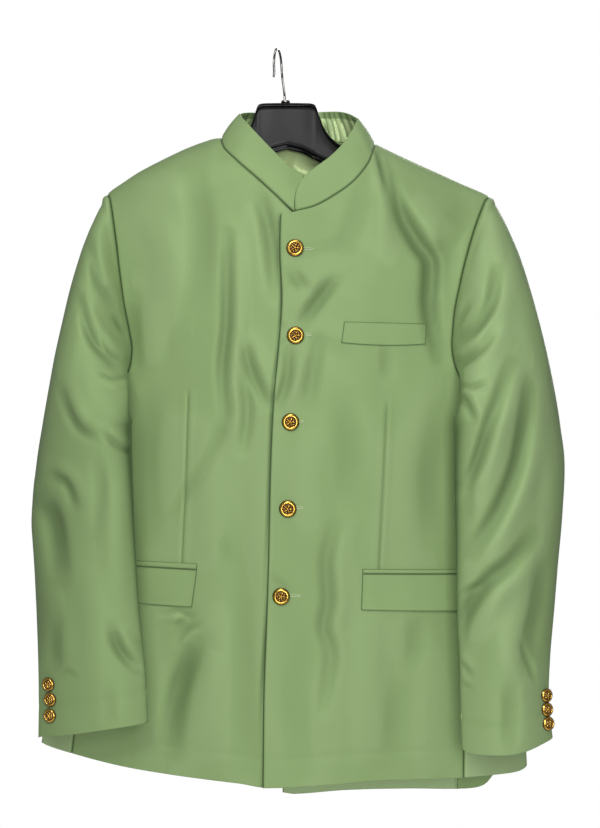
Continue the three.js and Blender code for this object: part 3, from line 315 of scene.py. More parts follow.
BACK_CREASES = [
    ([(-92, -180), (-116, -300), (-124, -400), (-118, -470)], 19.4, -5.0, 1),
    ([(94, -185), (116, -300), (124, -410), (121, -480)], 20.5, -5.1, -1),
    ([(-52, -300), (-60, -400), (-52, -500)], 17.3, 2.6, 0),
    ([(46, -280), (58, -380), (50, -520)], 16.2, 2.4, 0),
    ([(-60, -540), (-68, -700), (-74, -870)], 23.8, 4.4, 0),
    ([(68, -520), (76, -700), (86, -890)], 23.8, 4.6, 0),
    ([(150, -600), (166, -720), (176, -890)], 21.6, -4.0, -1),
    ([(-140, -580), (-158, -700), (-164, -860)], 20.5, -3.7, 1),
    ([(-30, -118), (0, -126), (32, -118)], 9.7, -2.4, 1),
    ([(-160, -200), (-176, -280), (-182, -350)], 15.1, 2.6, 0),
    ([(158, -205), (172, -285), (178, -352)], 15.1, 2.7, 0),
    ([(-110, -640), (-116, -740), (-112, -860)], 14, -2.2, 0),
    ([(118, -560), (122, -660), (116, -780)], 15.1, -2.1, 0),
    ([(20, -640), (26, -740), (22, -880)], 14, -2.1, 1),
    ([(-200, -450), (-214, -560), (-210, -700)], 17.3, 2.7, 0),
    ([(204, -450), (212, -560), (214, -720)], 18.4, 3.0, 0),
]
SIDE_CREASES = [  # y and z on each side of the body, under the sleeve
    ([(-8, -455), (-14, -560), (-6, -680)], 11, -2.6, 1),
    ([(14, -520), (20, -640), (12, -800)], 12, 2.6, 0),
    ([(-16, -660), (-8, -760), (-12, -850)], 11, -2.2, -1),
]


def read(rows, column, at):
    """Smooth value of a table's column at places on its first column."""
    table = np.array(rows, float)
    table = table[np.argsort(table[:, 0])]
    known, value = table[:, 0], table[:, column]
    at = np.clip(at, known[0], known[-1])
    i = np.clip(np.searchsorted(known, at, side="right") - 1, 0, len(known) - 2)
    before, after = np.maximum(i - 1, 0), np.minimum(i + 2, len(known) - 1)
    span = known[i + 1] - known[i]
    t = (at - known[i]) / span
    rise_in = (value[i + 1] - value[before]) / (known[i + 1] - known[before]) * span
    rise_out = (value[after] - value[i]) / (known[after] - known[i]) * span
    return ((2 * t**3 - 3 * t**2 + 1) * value[i] + (t**3 - 2 * t**2 + t) * rise_in
            + (3 * t**2 - 2 * t**3) * value[i + 1] + (t**3 - t**2) * rise_out)


def mix(a, b, t):
    return a + (b - a) * t


def ease(a, b, v):
    t = np.clip((v - a) / (b - a), 0, 1)
    return t * t * (3 - 2 * t)


def hump(v, middle, wide):
    return np.exp(-(((v - middle) / wide) ** 2))


def unit(v):
    return v / np.maximum(np.linalg.norm(v, axis=-1, keepdims=True), 1e-9)


def shoulder(x):
    return read(SHOULDER, 1, x)


def across_body(angle, z):
    return read(BODY, 1, z) + read(BODY, 2, z) * np.sin(angle)


def share_across(x, z):
    return (x - read(BODY, 1, z)) / read(BODY, 2, z)


def on_body(angle, root):
    """Point of the body's outer face at an angle round it; root squared is its drop below
    the shoulder line."""
    z = shoulder(FIRST_HALF_WIDTH * np.sin(angle)) - root**2
    for _ in range(3):
        x = across_body(angle, z)
        z = shoulder(x) - root**2
    c = np.cos(angle)
    depth = np.where(c >= 0, -read(BODY, 3, z), read(BODY, 4, z)) * np.abs(c) ** SIDE_SHARPNESS
    drop = np.clip(root**2 / SHOULDER_ROUND, 0, 1)
    return np.stack([x, depth * np.sqrt(1 - (1 - drop) ** 2), z], -1)


def body_normal(angle, root):
    around = on_body(angle + 0.004, root) - on_body(angle - 0.004, root)
    up = on_body(angle, np.maximum(root - 0.04, 0)) - on_body(angle, root + 0.04)
    return unit(np.cross(around, up))


def root_at(x, z):
    return np.sqrt(np.maximum(shoulder(x) - z, 0))


def angle_of(x, z, behind=False):
    angle = np.arcsin(np.clip(share_across(x, z), -1, 1))
    return np.where(x < 0, -np.pi, np.pi) - angle if behind else angle


def smooth_path(line, steps=5):
    line = np.array(line, float)
    rows = np.column_stack([np.arange(len(line)), line])
    at = np.linspace(0, len(line) - 1, steps * (len(line) - 1) + 1)
    return np.stack([read(rows, 1 + k, at) for k in range(line.shape[1])], -1)


def crease_lift(creases, x, z):
    """Height that the listed creases give the cloth at flat places x, z."""
    lift = np.zeros(np.broadcast(x, z).shape)
    for line, wide, rise, beside in creases:
        path = smooth_path(line)
        reach = 3.4 * wide
        low, high = path.min(0) - reach, path.max(0) + reach
        near = (x > low[0]) & (x < high[0]) & (z > low[1]) & (z < high[1])
        if not near.any():
            continue
        px, pz = x[near], z[near]
        best = np.full(px.shape, 1e9)
        signed, along = np.zeros(px.shape), np.zeros(px.shape)
        parts = len(path) - 1
        for i in range(parts):
            a, way = path[i], path[i + 1] - path[i]
            t = np.clip(((px - a[0]) * way[0] + (pz - a[1]) * way[1]) / (way @ way), 0, 1)
            away = np.hypot(px - a[0] - t * way[0], pz - a[1] - t * way[1])
            closer = away < best
            best = np.where(closer, away, best)
            turn = np.sign(way[0] * (pz - a[1]) - way[1] * (px - a[0]))
            signed = np.where(closer, away * turn, signed)
            along = np.where(closer, (i + t) / parts, along)
        fade = 0.2 + 0.8 * np.sin(np.pi * np.clip(along, 0, 1)) ** 0.8
        shape = np.exp(-(best / wide) ** 2.8)
        if beside:
            shape = shape - 0.5 * hump(signed * beside, 1.9 * wide, 1.3 * wide)
        lift[near] += rise * fade * shape
    return lift


def cockle(a, b):
    """Slight unevenness of cloth that has hung for a while."""
    return (0.22 * np.sin(a / 17 + 1.3 * np.sin(b / 61)) * np.sin(b / 83 + 0.7)
            + 0.16 * np.sin(a / 9.5 + b / 37 + 2.1) * np.sin(b / 29 - a / 47)
            + 0.30 * np.sin(a / 41 - b / 90 + 0.4))


def painted_crease_shade(lift):
    """Painted shade where the cloth sinks in a crease, and a little painted light where it swells,
    standing in for the sheen of satin-faced cloth.
    """
    return np.clip(-lift / 11, -0.04, 0.5)


def body_lift(point, normal):
    """Creases and unevenness of the body at points on it, fading toward the other faces."""
    x, y, z = point[..., 0], point[..., 1], point[..., 2]
    front = np.clip(-2 * normal[..., 1], 0, 1)
    back = np.clip(2 * normal[..., 1], 0, 1)
    side = np.clip(1.6 * np.abs(normal[..., 0]) - 0.5, 0, 1) * ease(-445, -500, z)
    under_shoulder = ease(0, 5, root_at(x, z))
    return under_shoulder * (
        front * crease_lift(FRONT_CREASES, x, z) + back * crease_lift(BACK_CREASES, x, z)
        + side * crease_lift(SIDE_CREASES, y, z) + cockle(x + 2 * y, z))


def steps_with_edges(length, spacing, first=True, last=True):
    """Places from 0 to 1 along a length, close together at its edges."""
    edge = np.array([0.35, 0.9, 1.7, 2.9, 4.5])
    inner = np.linspace(0, length, max(4, round(length / spacing)))
    low = 6.5 if first else 0.1
    high = length - (6.5 if last else 0.1)
    inner = inner[(inner > low) & (inner < high)]
    stops = [[0.0], edge if first else [], inner, length - edge[::-1] if last else [], [length]]
    return np.concatenate(stops) / length


def lengths(grid, axis):
    """Distances from the first and the last line of a grid of points, along one axis."""
    step = np.linalg.norm(np.diff(grid, axis=axis), axis=-1)
    pad = [(0, 0), (0, 0)]
    pad[axis] = (1, 0)
    run = np.cumsum(np.pad(step, pad), axis=axis)
    total = run[-1:, :] if axis == 0 else run[:, -1:]
    return run, total - run


def seam_ditch(distance, deep=1.3, wide=1.6):
    return -deep * hump(distance, 0, wide)


def seam_shade(*distances, wide=1.1):
    return sum(hump(distance, 0, wide) for distance in distances)


def rounded_edge(distance, wall):
    q = np.clip(1 - distance / (0.55 * wall), 0, 1)
    return -0.45 * wall * (1 - np.sqrt(1 - q**2))


def grid_normals(grid, toward):
    """Normals of a grid of points, on the side of the direction or directions given."""
    normal = unit(np.cross(np.gradient(grid, axis=1), np.gradient(grid, axis=0)))
    return normal * np.sign(np.sum(normal * toward))


def new_piece(name, called, points, faces, looks):
    """Smooth piece in the scene, from points in garment millimetres."""
    mesh = bpy.data.meshes.new(name)
    placed = (points - [HOOK_FROM_CENTRE, 0, 0]) / 1000
    mesh.from_pydata(placed.tolist(), [], faces)
    mesh.polygons.foreach_set("use_smooth", np.ones(len(mesh.polygons), bool))
    for look in looks:
        mesh.materials.append(look)
    piece = bpy.data.objects.new(called, mesh)
    scene.collection.objects.link(piece)
    return piece


def sheet_mesh(name, outer, inner, looks, shade=0, band=None, inner_shade=0):
    """Closed mesh between an outer and an inner grid of points in garment millimetres. shade is
    painted shade on the outer face, in seams, creases and shaded places, and painted light where it
    is below nought; inner_shade is the same on the inner face. band is 1 on the rows whose inside is
    lined."""
    rows, columns = outer.shape[:2]
    count = rows * columns
    points = np.concatenate([outer.reshape(-1, 3), inner.reshape(-1, 3)])
    r, c = np.meshgrid(np.arange(rows - 1), np.arange(columns - 1), indexing="ij")
    a = (r * columns + c).ravel()
    face = np.stack([a, a + 1, a + 1 + columns, a + columns], 1)
    ring = np.concatenate([
        np.arange(columns - 1), np.arange(rows - 1) * columns + columns - 1,
        count - 1 - np.arange(columns - 1), (rows - 1 - np.arange(rows - 1)) * columns])
    after = np.roll(ring, -1)
    rim = np.stack([after, ring, ring + count, after + count], 1)
    faces = np.concatenate([face, count + face[:, ::-1], rim])
    p = points[faces]
    if np.sum(p[:, 0] * np.cross(p[:, 1] - p[:, 0], p[:, 2] - p[:, 0])) < 0:
        faces = faces[:, ::-1]
    piece = new_piece(name, name + "_cloth", points, faces.tolist(), looks)
    mesh = piece.data
    kind = np.zeros(len(faces), np.int32)
    if len(looks) > 1:
        kind[len(face):2 * len(face)] = 1 if band is None else np.repeat(band, columns - 1)
    mesh.polygons.foreach_set("material_index", kind)
    dark = np.concatenate([np.broadcast_to(part, (rows, columns)).ravel()
                           for part in (shade, inner_shade)])
    mesh.attributes.new("shade", "FLOAT", "POINT").data.foreach_set("value", dark)
    cut = np.stack([lengths(outer, 1)[0], lengths(outer, 0)[0]], -1)
    flat = np.concatenate([cut.reshape(-1, 2)] * 2) / 1000
    corner = np.zeros(len(mesh.loops), np.int32)
    mesh.loops.foreach_get("vertex_index", corner)
    layer = mesh.uv_layers.new(name="cut")
    layer.data.foreach_set("uv", flat[corner].astype(np.float32).ravel())
    return piece


def suiting(name):
    """Fine twill with a soft sheen, faintly slubbed across."""
    look = Look(name, Sheen_Weight=0.12, Sheen_Roughness=0.4, Specular_IOR_Level=0.75)
    look.shader.inputs["Sheen Tint"].default_value = (0.78, 0.95, 0.66, 1)
    look.shader.inputs["Specular Tint"].default_value = (0.62, 0.92, 0.42, 1)
    place = look.node("UVMap", {"uv_map": "cut"})
    across = look.node("SeparateXYZ", {}, {0: place})
    down = Link(look, across.socket.node.outputs[1])
    twill = ((across * 0.8 + down) * 9000.0).math("SINE") * 0.5 + 0.5
    stretched = look.node("Mapping", {}, {"Vector": place, "Scale": (60.0, 1500.0, 1.0)})
    slub = look.noise(stretched, 1.0, 3.0)
    cloud = look.noise(place, 9.0, 3.0)
    ground, pale = (0.247, 0.361, 0.147, 1), (0.308, 0.432, 0.191, 1)
    colour = look.blend(cloud * 0.45 + slub * 0.4 + twill * 0.12, ground, pale)
    # The shade attribute paints shade into the colour in seams, creases and shaded places, and paints
    # light where it is below nought.
    shade = look.node("Attribute", {"attribute_name": "shade"}, output=2)
    colour = look.blend((shade * 0.88).math("MAXIMUM", 0.0), colour, (0.03, 0.06, 0.022, 1))
    colour = look.blend((shade * -1.0).math("MAXIMUM", 0.0), colour, (0.85, 1.0, 0.65, 1))
    return look.finish({
        "Base Color": colour,
        "Roughness": cloud * 0.1 + slub * 0.08 + 0.37,
        "Normal": look.bump(twill * 0.6 + slub * 0.6, 0.25, 0.0003),
    })


def satin(name, painted_light=1.0):
    """Thin polyester lining satin, shiny along its folds. painted_light scales its colour up, painted
    light for satin that lies in shade.
    """
    look = Look(name, Specular_IOR_Level=1.0, Sheen_Weight=0.1)
    look.shader.inputs["Specular Tint"].default_value = (0.75, 0.95, 0.5, 1)
    place = look.node("UVMap", {"uv_map": "cut"})
    stretched = look.node("Mapping", {}, {"Vector": place, "Scale": (900.0, 60.0, 1.0)})
    thread = look.noise(stretched, 1.0, 2.0)
    cloud = look.noise(place, 14.0)
    # The shade attribute paints shade into the colour, in folds and shaded places.
    shade = look.node("Attribute", {"attribute_name": "shade"}, output=2)
    low, high = ([c * painted_light for c in tone] for tone in ((0.60, 0.78, 0.34), (0.68, 0.84, 0.42)))
    colour = look.blend(cloud, (*low, 1), (*high, 1))
    return look.finish({
        "Base Color": look.blend(shade, colour, (0.04, 0.09, 0.03, 1)),
        "Roughness": thread * 0.06 + 0.22,
        "Normal": look.bump(thread, 0.06, 0.0002),
    })


suiting_look = suiting("sage_suiting")
satin_look = satin("sage_lining_satin")


def row_curve(rows, corner, behind, at):
    """Angle and root along a panel's inner edge: the rows join smoothly, save at one corner."""
    x = np.array([row[0] for row in rows], float)
    z = np.array([row[1] for row in rows], float)
    root = root_at(x, z)
    root[-1] = 0
    number = np.arange(len(rows))
    out_x, out_root = np.zeros(len(at)), np.zeros(len(at))
    for part, here in ((slice(None, corner + 1), at <= corner), (slice(corner, None), at > corner)):
        rows_x = np.column_stack([number[part], x[part]])
        rows_root = np.column_stack([number[part], root[part]])
        out_x[here] = read(rows_x, 1, at[here])
        out_root[here] = read(rows_root, 1, at[here])
    out_z = shoulder(out_x) - out_root**2
    angle = angle_of(out_x, out_z, behind)
    if behind:
        sign = np.sign(rows[-1][0])
        angle = np.where(np.abs(out_x) < 1e-6, sign * np.pi, angle)
    return angle, out_root


def arm_loop(side):
    """Stops round the armhole: shoulder, down the front, under the arm, up the back."""
    front, back = PANELS["front_" + side], PANELS["back_" + side]
    stops = [(angle_of(row[2], row[3]), root_at(row[2], row[3])) for row in front[::-1]]
    for at, z in UNDERARM[side]:
        angle = math.radians(at)
        stops.append((angle, root_at(across_body(angle, z), z)))
    stops += [(angle_of(row[2], row[3], True), root_at(row[2], row[3])) for row in back]
    stops = np.array([[float(a), float(b)] for a, b in stops])
    stops[0, 1] = stops[-1, 1] = 0
    return np.column_stack([np.arange(len(stops)), stops])


ARM = {side: arm_loop(side) for side in ("left", "right")}


def hem_z(angle):
    return read(HEM, 1, np.degrees(angle))


def panel_grid(name, spacing=3.2):
    """Angle and root of every point of a front or back panel, hem first."""
    kind, side = name.split("_")
    behind = kind == "back"
    sign = 1 if side == "left" else -1
    rows = PANELS[name]
    corner = NECK_CORNER[kind]
    level = steps_with_edges(CHEST_LONG, spacing, first=False)[1:] * (len(rows) - 1)
    start_angle, start_root = row_curve(rows, corner, behind, level)
    arm_at = BACK_STOP + level if behind else FRONT_STOP - level
    end_angle, end_root = read(ARM[side], 1, arm_at), read(ARM[side], 2, arm_at)
    u = steps_with_edges(PANEL_WIDE[kind], spacing)
    upper_angle = mix(start_angle[:, None], end_angle[:, None], u)
    upper_root = mix(start_root[:, None], end_root[:, None], u)
    t = steps_with_edges(SKIRT_LONG, spacing, last=False)
    seam_hem = math.radians(SIDE_SEAM_AT_HEM[side][1 if behind else 0])
    seam_stop = float(BACK_STOP if behind else FRONT_STOP)
    arm_angle, arm_root = read(ARM[side], 1, seam_stop), read(ARM[side], 2, seam_stop)
    z_of_row = mix(SKIRT_LOW, SKIRT_TOP, t)
    if name == "back_left":
        start = np.full(len(t), np.pi)
    elif name == "back_right":
        start = -np.pi - VENT_LAP / 300 * (1 - ease(0.28, 0.36, t))
    else:
        shift = 0 if side == "left" else UNDER_EDGE_SHIFT
        start = angle_of(read(TOP_EDGE, 1, z_of_row) + shift, z_of_row)
    first_angle, first_root = row_curve(rows, corner, behind, np.array([0.0]))
    top_z = on_body(mix(first_angle[0], arm_angle, u), mix(first_root[0], arm_root, u))[:, 2]
    hem_angle = mix(start[0], seam_hem, u)
    if behind:
        hem_angle = sign * np.minimum(np.abs(hem_angle), np.pi)
    low_angle = mix(start[:, None], mix(seam_hem, arm_angle, t)[:, None], u)
    low_z = mix(hem_z(hem_angle)[None, :], top_z[None, :], t[:, None])
    if not behind:
        low_angle = drawn_to_dart(low_angle, low_z, side, start, u)
    low_root = root_at(across_body(low_angle, low_z), low_z)
    return np.concatenate([low_angle, upper_angle]), np.concatenate([low_root, upper_root])


def dart_line(side, z):
    """Distance of the dart from the centre line at a height, and how open it is there."""
    line = DARTS[0 if side == "left" else 1]
    x = read([(b, a) for a, b in line], 1, z)
    return x, ease(line[0][1] + 8, line[0][1] - 14, z) * ease(line[2][1] - 14, line[2][1] - 4, z)


def drawn_to_dart(angle, z, side, start, u):
    """Columns of the grid moved together along the dart, so that its fold is sharp."""
    x, open_there = dart_line(side, z)
    at = angle_of(x, z)
    off = (angle - at) * 262
    return angle - 0.78 * open_there * (angle - at) * hump(off, 0, 13)


for name in PANELS:
    kind, side = name.split("_")
    behind = kind == "back"
    angle, root = panel_grid(name)
    base = on_body(angle, root)
    normal = body_normal(angle, root)
    x, z = base[..., 0], base[..., 2]
    lift = body_lift(base, normal)
    tone = painted_crease_shade(lift)
    inner_edge, arm_edge = lengths(base, 1)
    hem_edge, top_edge = lengths(base, 0)
    corner_z = -110 if behind else -205
    open_edge = ease(corner_z, corner_z - 6, z[:, :1])
    if behind:
        open_edge = open_edge * ease(-700, -740, z[:, :1])
    lift += seam_ditch(inner_edge) * (1 - open_edge)
    lift += rounded_edge(inner_edge, CLOTH_WALL) * open_edge
    lift += seam_ditch(arm_edge) + seam_ditch(top_edge)
    lift += rounded_edge(hem_edge, CLOTH_WALL) - 0.35 * hump(hem_edge, HEM_STITCH, 5)
    if name == "front_left":
        gape = hump(z, -296, 26) * ease(6, -18, x)
        lift += 2.2 * gape + 0.5 * hump(inner_edge, 4, 5) * open_edge
    if name == "front_right":
        lift -= LAP * ease(-100, -50, x)
    if name == "back_right":
        lift -= LAP * ease(-640, -720, z) * ease(-np.pi + 50 / 300, -np.pi + 8 / 300, angle)
    if not behind:
        dart_x, dart_open = dart_line(side, z)
        off = x - dart_x
        fold = 0.7 * hump(off, 3.2, 3.2) - 1.1 * hump(off, 0, 1.5) + 0.4 * hump(off, -3.6, 3.4)
        lift += dart_open * fold
    outer = base + normal * lift[..., None]
    inner = outer - CLOTH_WALL * grid_normals(outer, (0, 1 if behind else -1, 0))
    # Painted shade: in creases, along the seams, along the dart's fold, along the lapped front edge,
    # under the lap and in a band below the right shoulder.
    shade = tone + seam_shade(arm_edge, top_edge) + seam_shade(inner_edge, wide=1.3)
    if not behind:
        shade = shade + 0.45 * dart_open * seam_shade(off, wide=0.9)
    if name == "front_left":
        shade = shade + open_edge * seam_shade(inner_edge, wide=1.4)
    if name == "front_right":
        shade = shade + 0.15 * hump(root**2, 0, 15) * ease(-85, -105, x)
        lap_edge = read(TOP_EDGE + FRONT_EDGE_ABOVE, 1, z)
        shade = shade + 0.9 * ease(-200, -212, z) * seam_shade(x - lap_edge + 0.8, wide=1.5)
    lined = (hem_edge[:-1, 0] > HEM_TURN_UP).astype(np.int32)
    # Painted light on the inside of the back's turned-up hem, which hangs in shade.
    painted_hem_light = -0.26 * ease(62, 34, hem_edge) if behind else 0
    panel = sheet_mesh(
        name, outer, inner, [suiting_look, satin_look], np.clip(shade, -1, 1), lined, painted_hem_light)
    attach(panel, "root")
    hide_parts(name)
    width, length = FLAT_CUT[kind]
    area = CUT_SHARE * width * length


# Side panels: one on each side under the arm, from the armhole to the hem, of the same cloth.
# The sleeves hang before them.
for side, (seam_front, seam_back) in SIDE_SEAM_AT_HEM.items():
    u = steps_with_edges(150, 3.2)
    t = steps_with_edges(440, 3.4)
    stop = mix(FRONT_STOP, BACK_STOP, u)
    top_angle, top_root = read(ARM[side], 1, stop), read(ARM[side], 2, stop)
    top_z = on_body(top_angle, top_root)[:, 2]
    hem_angle = mix(math.radians(seam_front), math.radians(seam_back), u)
    angle = mix(hem_angle[None, :], top_angle[None, :], t[:, None])
    z = mix(hem_z(hem_angle)[None, :], top_z[None, :], t[:, None])
    root = root_at(across_body(angle, z), z)
    base, normal = on_body(angle, root), body_normal(angle, root)
    front_edge, back_edge = lengths(base, 1)
    hem_edge, arm_edge = lengths(base, 0)
    lift = body_lift(base, normal) + seam_ditch(front_edge) + seam_ditch(back_edge)
    lift += seam_ditch(arm_edge) + rounded_edge(hem_edge, CLOTH_WALL)
    outer = base + normal * lift[..., None]
    way = (1 if side == "left" else -1, 0, 0)
    inner = outer - CLOTH_WALL * grid_normals(outer, way)
    # Painted shade in creases and seams, and painted light near the hem, where the sleeve's shade
    # falls.
    shade = painted_crease_shade(lift) + seam_shade(front_edge, back_edge, arm_edge) - 0.16 * ease(90, 40, hem_edge)
    shade = np.clip(shade, -1, 1)
    lined = (hem_edge[:-1, 0] > HEM_TURN_UP).astype(np.int32)
    panel = sheet_mesh("side_" + side, outer, inner, [suiting_look, satin_look], shade, lined)
    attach(panel, "root")
    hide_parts("side_" + side)


# Sleeves: each a top sleeve and an under sleeve, eased into the armhole with a slight rope at
# the shoulder. They hang a little in front of the body and crease at the elbow.
SLEEVE = {  # z, inner edge, outer edge, middle depth, turn of the long axis, half thickness
    "left": [
        (-455, 185.8, 318, -50, 32, 42), (-500, 186, 323.5, -50, 28, 38),
        (-560, 187, 320.5, -53, 23, 34), (-620, 188, 315, -57, 19, 31),
        (-680, 189, 309.5, -61, 16, 28), (-740, 192, 303.5, -65, 14, 25),
        (-790, 193, 301.5, -68, 12, 22), (-850, 194.5, 307.5, -71, 10, 20),
    ],
    "right": [
        (-455, -197.5, -307.5, -50, 32, 40), (-500, -196.5, -315, -51, 28, 38),
        (-560, -194, -320.5, -53, 23, 34), (-620, -191, -318, -57, 19, 31),
        (-680, -187, -314.5, -61, 16, 28), (-740, -180.5, -311.5, -65, 14, 25),
        (-790, -177.4, -310, -68, 12, 22), (-850, -175, -310, -71, 10, 20),
    ],
}
CUFF = {  # angle round the sleeve (0 outside, 90 front, 180 inside), z
    "left": [(0, -832), (40, -837), (90, -848), (150, -847), (180, -841), (270, -843), (360, -832)],
    "right": [(0, -833), (60, -827), (110, -818), (165, -811), (180, -810), (270, -822), (360, -833)],
}
ROUND = [  # stop of the armhole, angle round the sleeve at which it continues
    (0, 0), (1, 5), (2, 13), (3, 26), (4, 40), (5, 55), (6, 70), (7, 88), (8, 106), (9, 126),
    (10, 148), (11, 172), (12, 196), (13, 208), (14, 225), (15, 243), (16, 258), (17, 270),
    (18, 280), (19, 287), (20, 294), (21, 300), (22, 306), (23, 312), (24, 319), (25, 327),
    (26, 336), (27, 344), (28, 351), (29, 356), (30, 360),
]
FIRST_RING = -455
HEAD_LONG, BELOW_LONG = 260, 385
HEAD_STEPS = 78
SLEEVE_LINED_TO = 240  # above the cuff
ROPE_HIGH = 2.3
HEAD_CROWN = {"left": 0.26, "right": 0.19}  # how far the sleeve head leaves along the shoulder
OVER_ARM = {"left": -2, "right": 9}  # swelling beside the body, just over the first ring
# Painted shade on the outer side of each sleeve, and over the whole right sleeve; the left is painted
# a little lighter.
OUTSIDE_PAINTED_SHADE = {"left": 0.14, "right": 0.24}
SLEEVE_PAINTED_SHADE = {"left": -0.03, "right": 0.09}  # the right one hangs turned from the light
SLEEVE_CREASES = {
    "left": [
        ([(240, -268), (231, -312), (213, -342), (191, -361)], 8.5, -5.2, 1),
        ([(240, -335), (221, -364), (197, -384), (187, -393)], 6.5, -4.6, 1),
        ([(238, -322), (216, -352), (192, -374)], 4, 1.6, 0),
        ([(182, -352), (196, -330), (206, -312)], 4.2, -2.2, 1),
        ([(186, -408), (204, -414), (222, -408)], 3.8, -2.8, -1),
        ([(190, -418), (200, -436), (207, -454)], 5.5, -3.8, 1),
        ([(252, -384), (238, -425), (224, -462), (211, -505), (198, -528)], 8.5, -4.8, 1),
        ([(275, -405), (268, -465), (257, -516), (234, -566), (205, -610)], 10, -6.8, 1),
        ([(281, -590), (252, -622), (220, -649), (197, -686), (189, -712)], 10.5, -6.4, 1),
        ([(292, -615), (285, -672), (276, -709), (272, -750)], 10.5, -3.8, -1),
        ([(222, -470), (204, -520), (200, -570)], 6.5, -2.4, 0),
        ([(190, -662), (204, -652), (222, -646)], 4.2, -2.0, 1),
        ([(186, -735), (194, -742), (205, -753)], 3.8, -2.2, 1),
        ([(184, -756), (194, -764), (206, -770)], 3.4, -1.6, 1),
        ([(262, -712), (275, -742), (282, -762)], 3.6, -2.0, 1),
        ([(217, -209), (209, -239), (200, -268)], 6.5, -2.6, 1),
        ([(232, -210), (240, -244), (244, -268)], 8, 1.8, 0),
        ([(300, -455), (306, -524), (298, -595)], 15, 2.6, 0),
        ([(270, -300), (288, -370), (286, -420)], 17, 2.6, 0),
        ([(251, -764), (252, -800), (250, -838)], 10, -1.6, 1),
    ],
    "right": [
        ([(-260, -306), (-252, -338), (-241, -361), (-225, -379), (-213, -393)], 6.0, -4.2, 1),
        ([(-236, -352), (-221, -371), (-206, -384)], 3.4, -3.0, 1),
        ([(-244, -322), (-232, -344), (-216, -362)], 4.2, 1.5, 0),
        ([(-250, -236), (-240, -278), (-224, -312)], 7.0, -3.4, 1),
        ([(-201, -330), (-208, -312), (-214, -292)], 3.8, -2.4, 1),
        ([(-200, -352), (-210, -344), (-219, -330)], 3.4, -2.8, -1),
        ([(-199, -400), (-214, -404), (-231, -398)], 3.6, -2.6, 1),
        ([(-282, -414), (-271, -443), (-259, -462), (-240, -474)], 6.5, -4.0, 1),
        ([(-228, -468), (-212, -482), (-197, -492)], 4.0, -3.0, 1),
        ([(-294, -518), (-275, -528), (-262, -556)], 6.5, -4.4, 1),
        ([(-303, -548), (-289, -578), (-280, -642)], 12.5, -6.0, -1),
        ([(-219, -700), (-209, -724), (-190, -747)], 6.5, -4.8, 1),
        ([(-189, -712), (-176, -730)], 4.0, -2.4, 0),
        ([(-192, -748), (-182, -756), (-174, -758)], 3.0, -1.8, 1),
        ([(-281, -756), (-271, -751), (-261, -756)], 3.0, -1.8, 1),
        ([(-286, -690), (-288, -724), (-286, -750)], 8.5, -2.6, 1),
        ([(-236, -498), (-231, -540), (-236, -590)], 8.5, -1.8, -1),
        ([(-246, -619), (-240, -690), (-244, -766)], 17, 2.4, 0),
        ([(-213, -520), (-215, -595), (-211, -670)], 15, 2.6, 0),
        ([(-262, -330), (-276, -380), (-280, -420)], 15, 2.4, 0),
        ([(-222, -768), (-221, -795), (-222, -818)], 8, -1.0, 1),
    ],
}
SLEEVE_BACK_CREASES = [  # mirrored for the right sleeve
    ([(206, -360), (236, -330), (262, -300)], 10.8, -6.1, 1),
    ([(300, -430), (270, -462), (230, -476)], 9.9, -6.5, 1),
    ([(296, -470), (262, -500), (222, -504)], 10.8, -6.1, 1),
    ([(236, -540), (242, -620), (232, -700)], 13.5, 4.7, 0),
    ([(280, -560), (288, -650), (280, -740)], 12.6, -4.7, 1),
    ([(214, -640), (226, -720), (220, -800)], 11.7, -4.3, -1),
    ([(262, -740), (258, -790), (262, -830)], 9.9, 3.5, 0),
]


def sleeve_ring(side, turn_round, z):
    table = SLEEVE[side]
    inner, outer = read(table, 1, z), read(table, 2, z)
    turn, half = np.radians(read(table, 4, z)), read(table, 5, z)
    wide = np.abs(outer - inner) / 2
    long = np.sqrt(np.maximum(wide**2 - (half * np.sin(turn)) ** 2, 100)) / np.cos(turn)
    a = np.radians(turn_round)
    pressed = 0.8 * ease(-540, -780, z)
    u, v = long * np.cos(a), half * np.sin(a) * np.abs(np.sin(a)) ** pressed
    x = u * np.cos(turn) + v * np.sin(turn)
    y = u * np.sin(turn) - v * np.cos(turn)
    return np.stack([(inner + outer) / 2 + np.sign(outer) * x, read(table, 3, z) + y, z + 0 * x], -1)


def clear_of_body(p, gap):
    """Sleeve points moved outward until they are the gap away from the body."""
    side = np.sign(p[..., 0].mean())
    z = p[..., 2]
    centre, half = read(BODY, 1, z), read(BODY, 2, z) + gap
    front, back = read(BODY, 3, z), read(BODY, 4, z)
    start = np.array([side * 195, 14.0])
    way = p[..., :2] - start
    reach = np.ones(z.shape)
    for _ in range(320):
        x, y = start[0] + way[..., 0] * reach, start[1] + way[..., 1] * reach
        s = np.clip(np.abs((x - centre) / half), 0, 1)
        depth = (1 - s * s) ** (SIDE_SHARPNESS / 2)
        inside = (s < 1) & (y > -front * depth - gap) & (y < back * depth + gap)
        if not inside.any():
            break
        reach = np.where(inside, reach + 0.01, reach)
    return np.stack([start[0] + way[..., 0] * reach, start[1] + way[..., 1] * reach, z], -1)


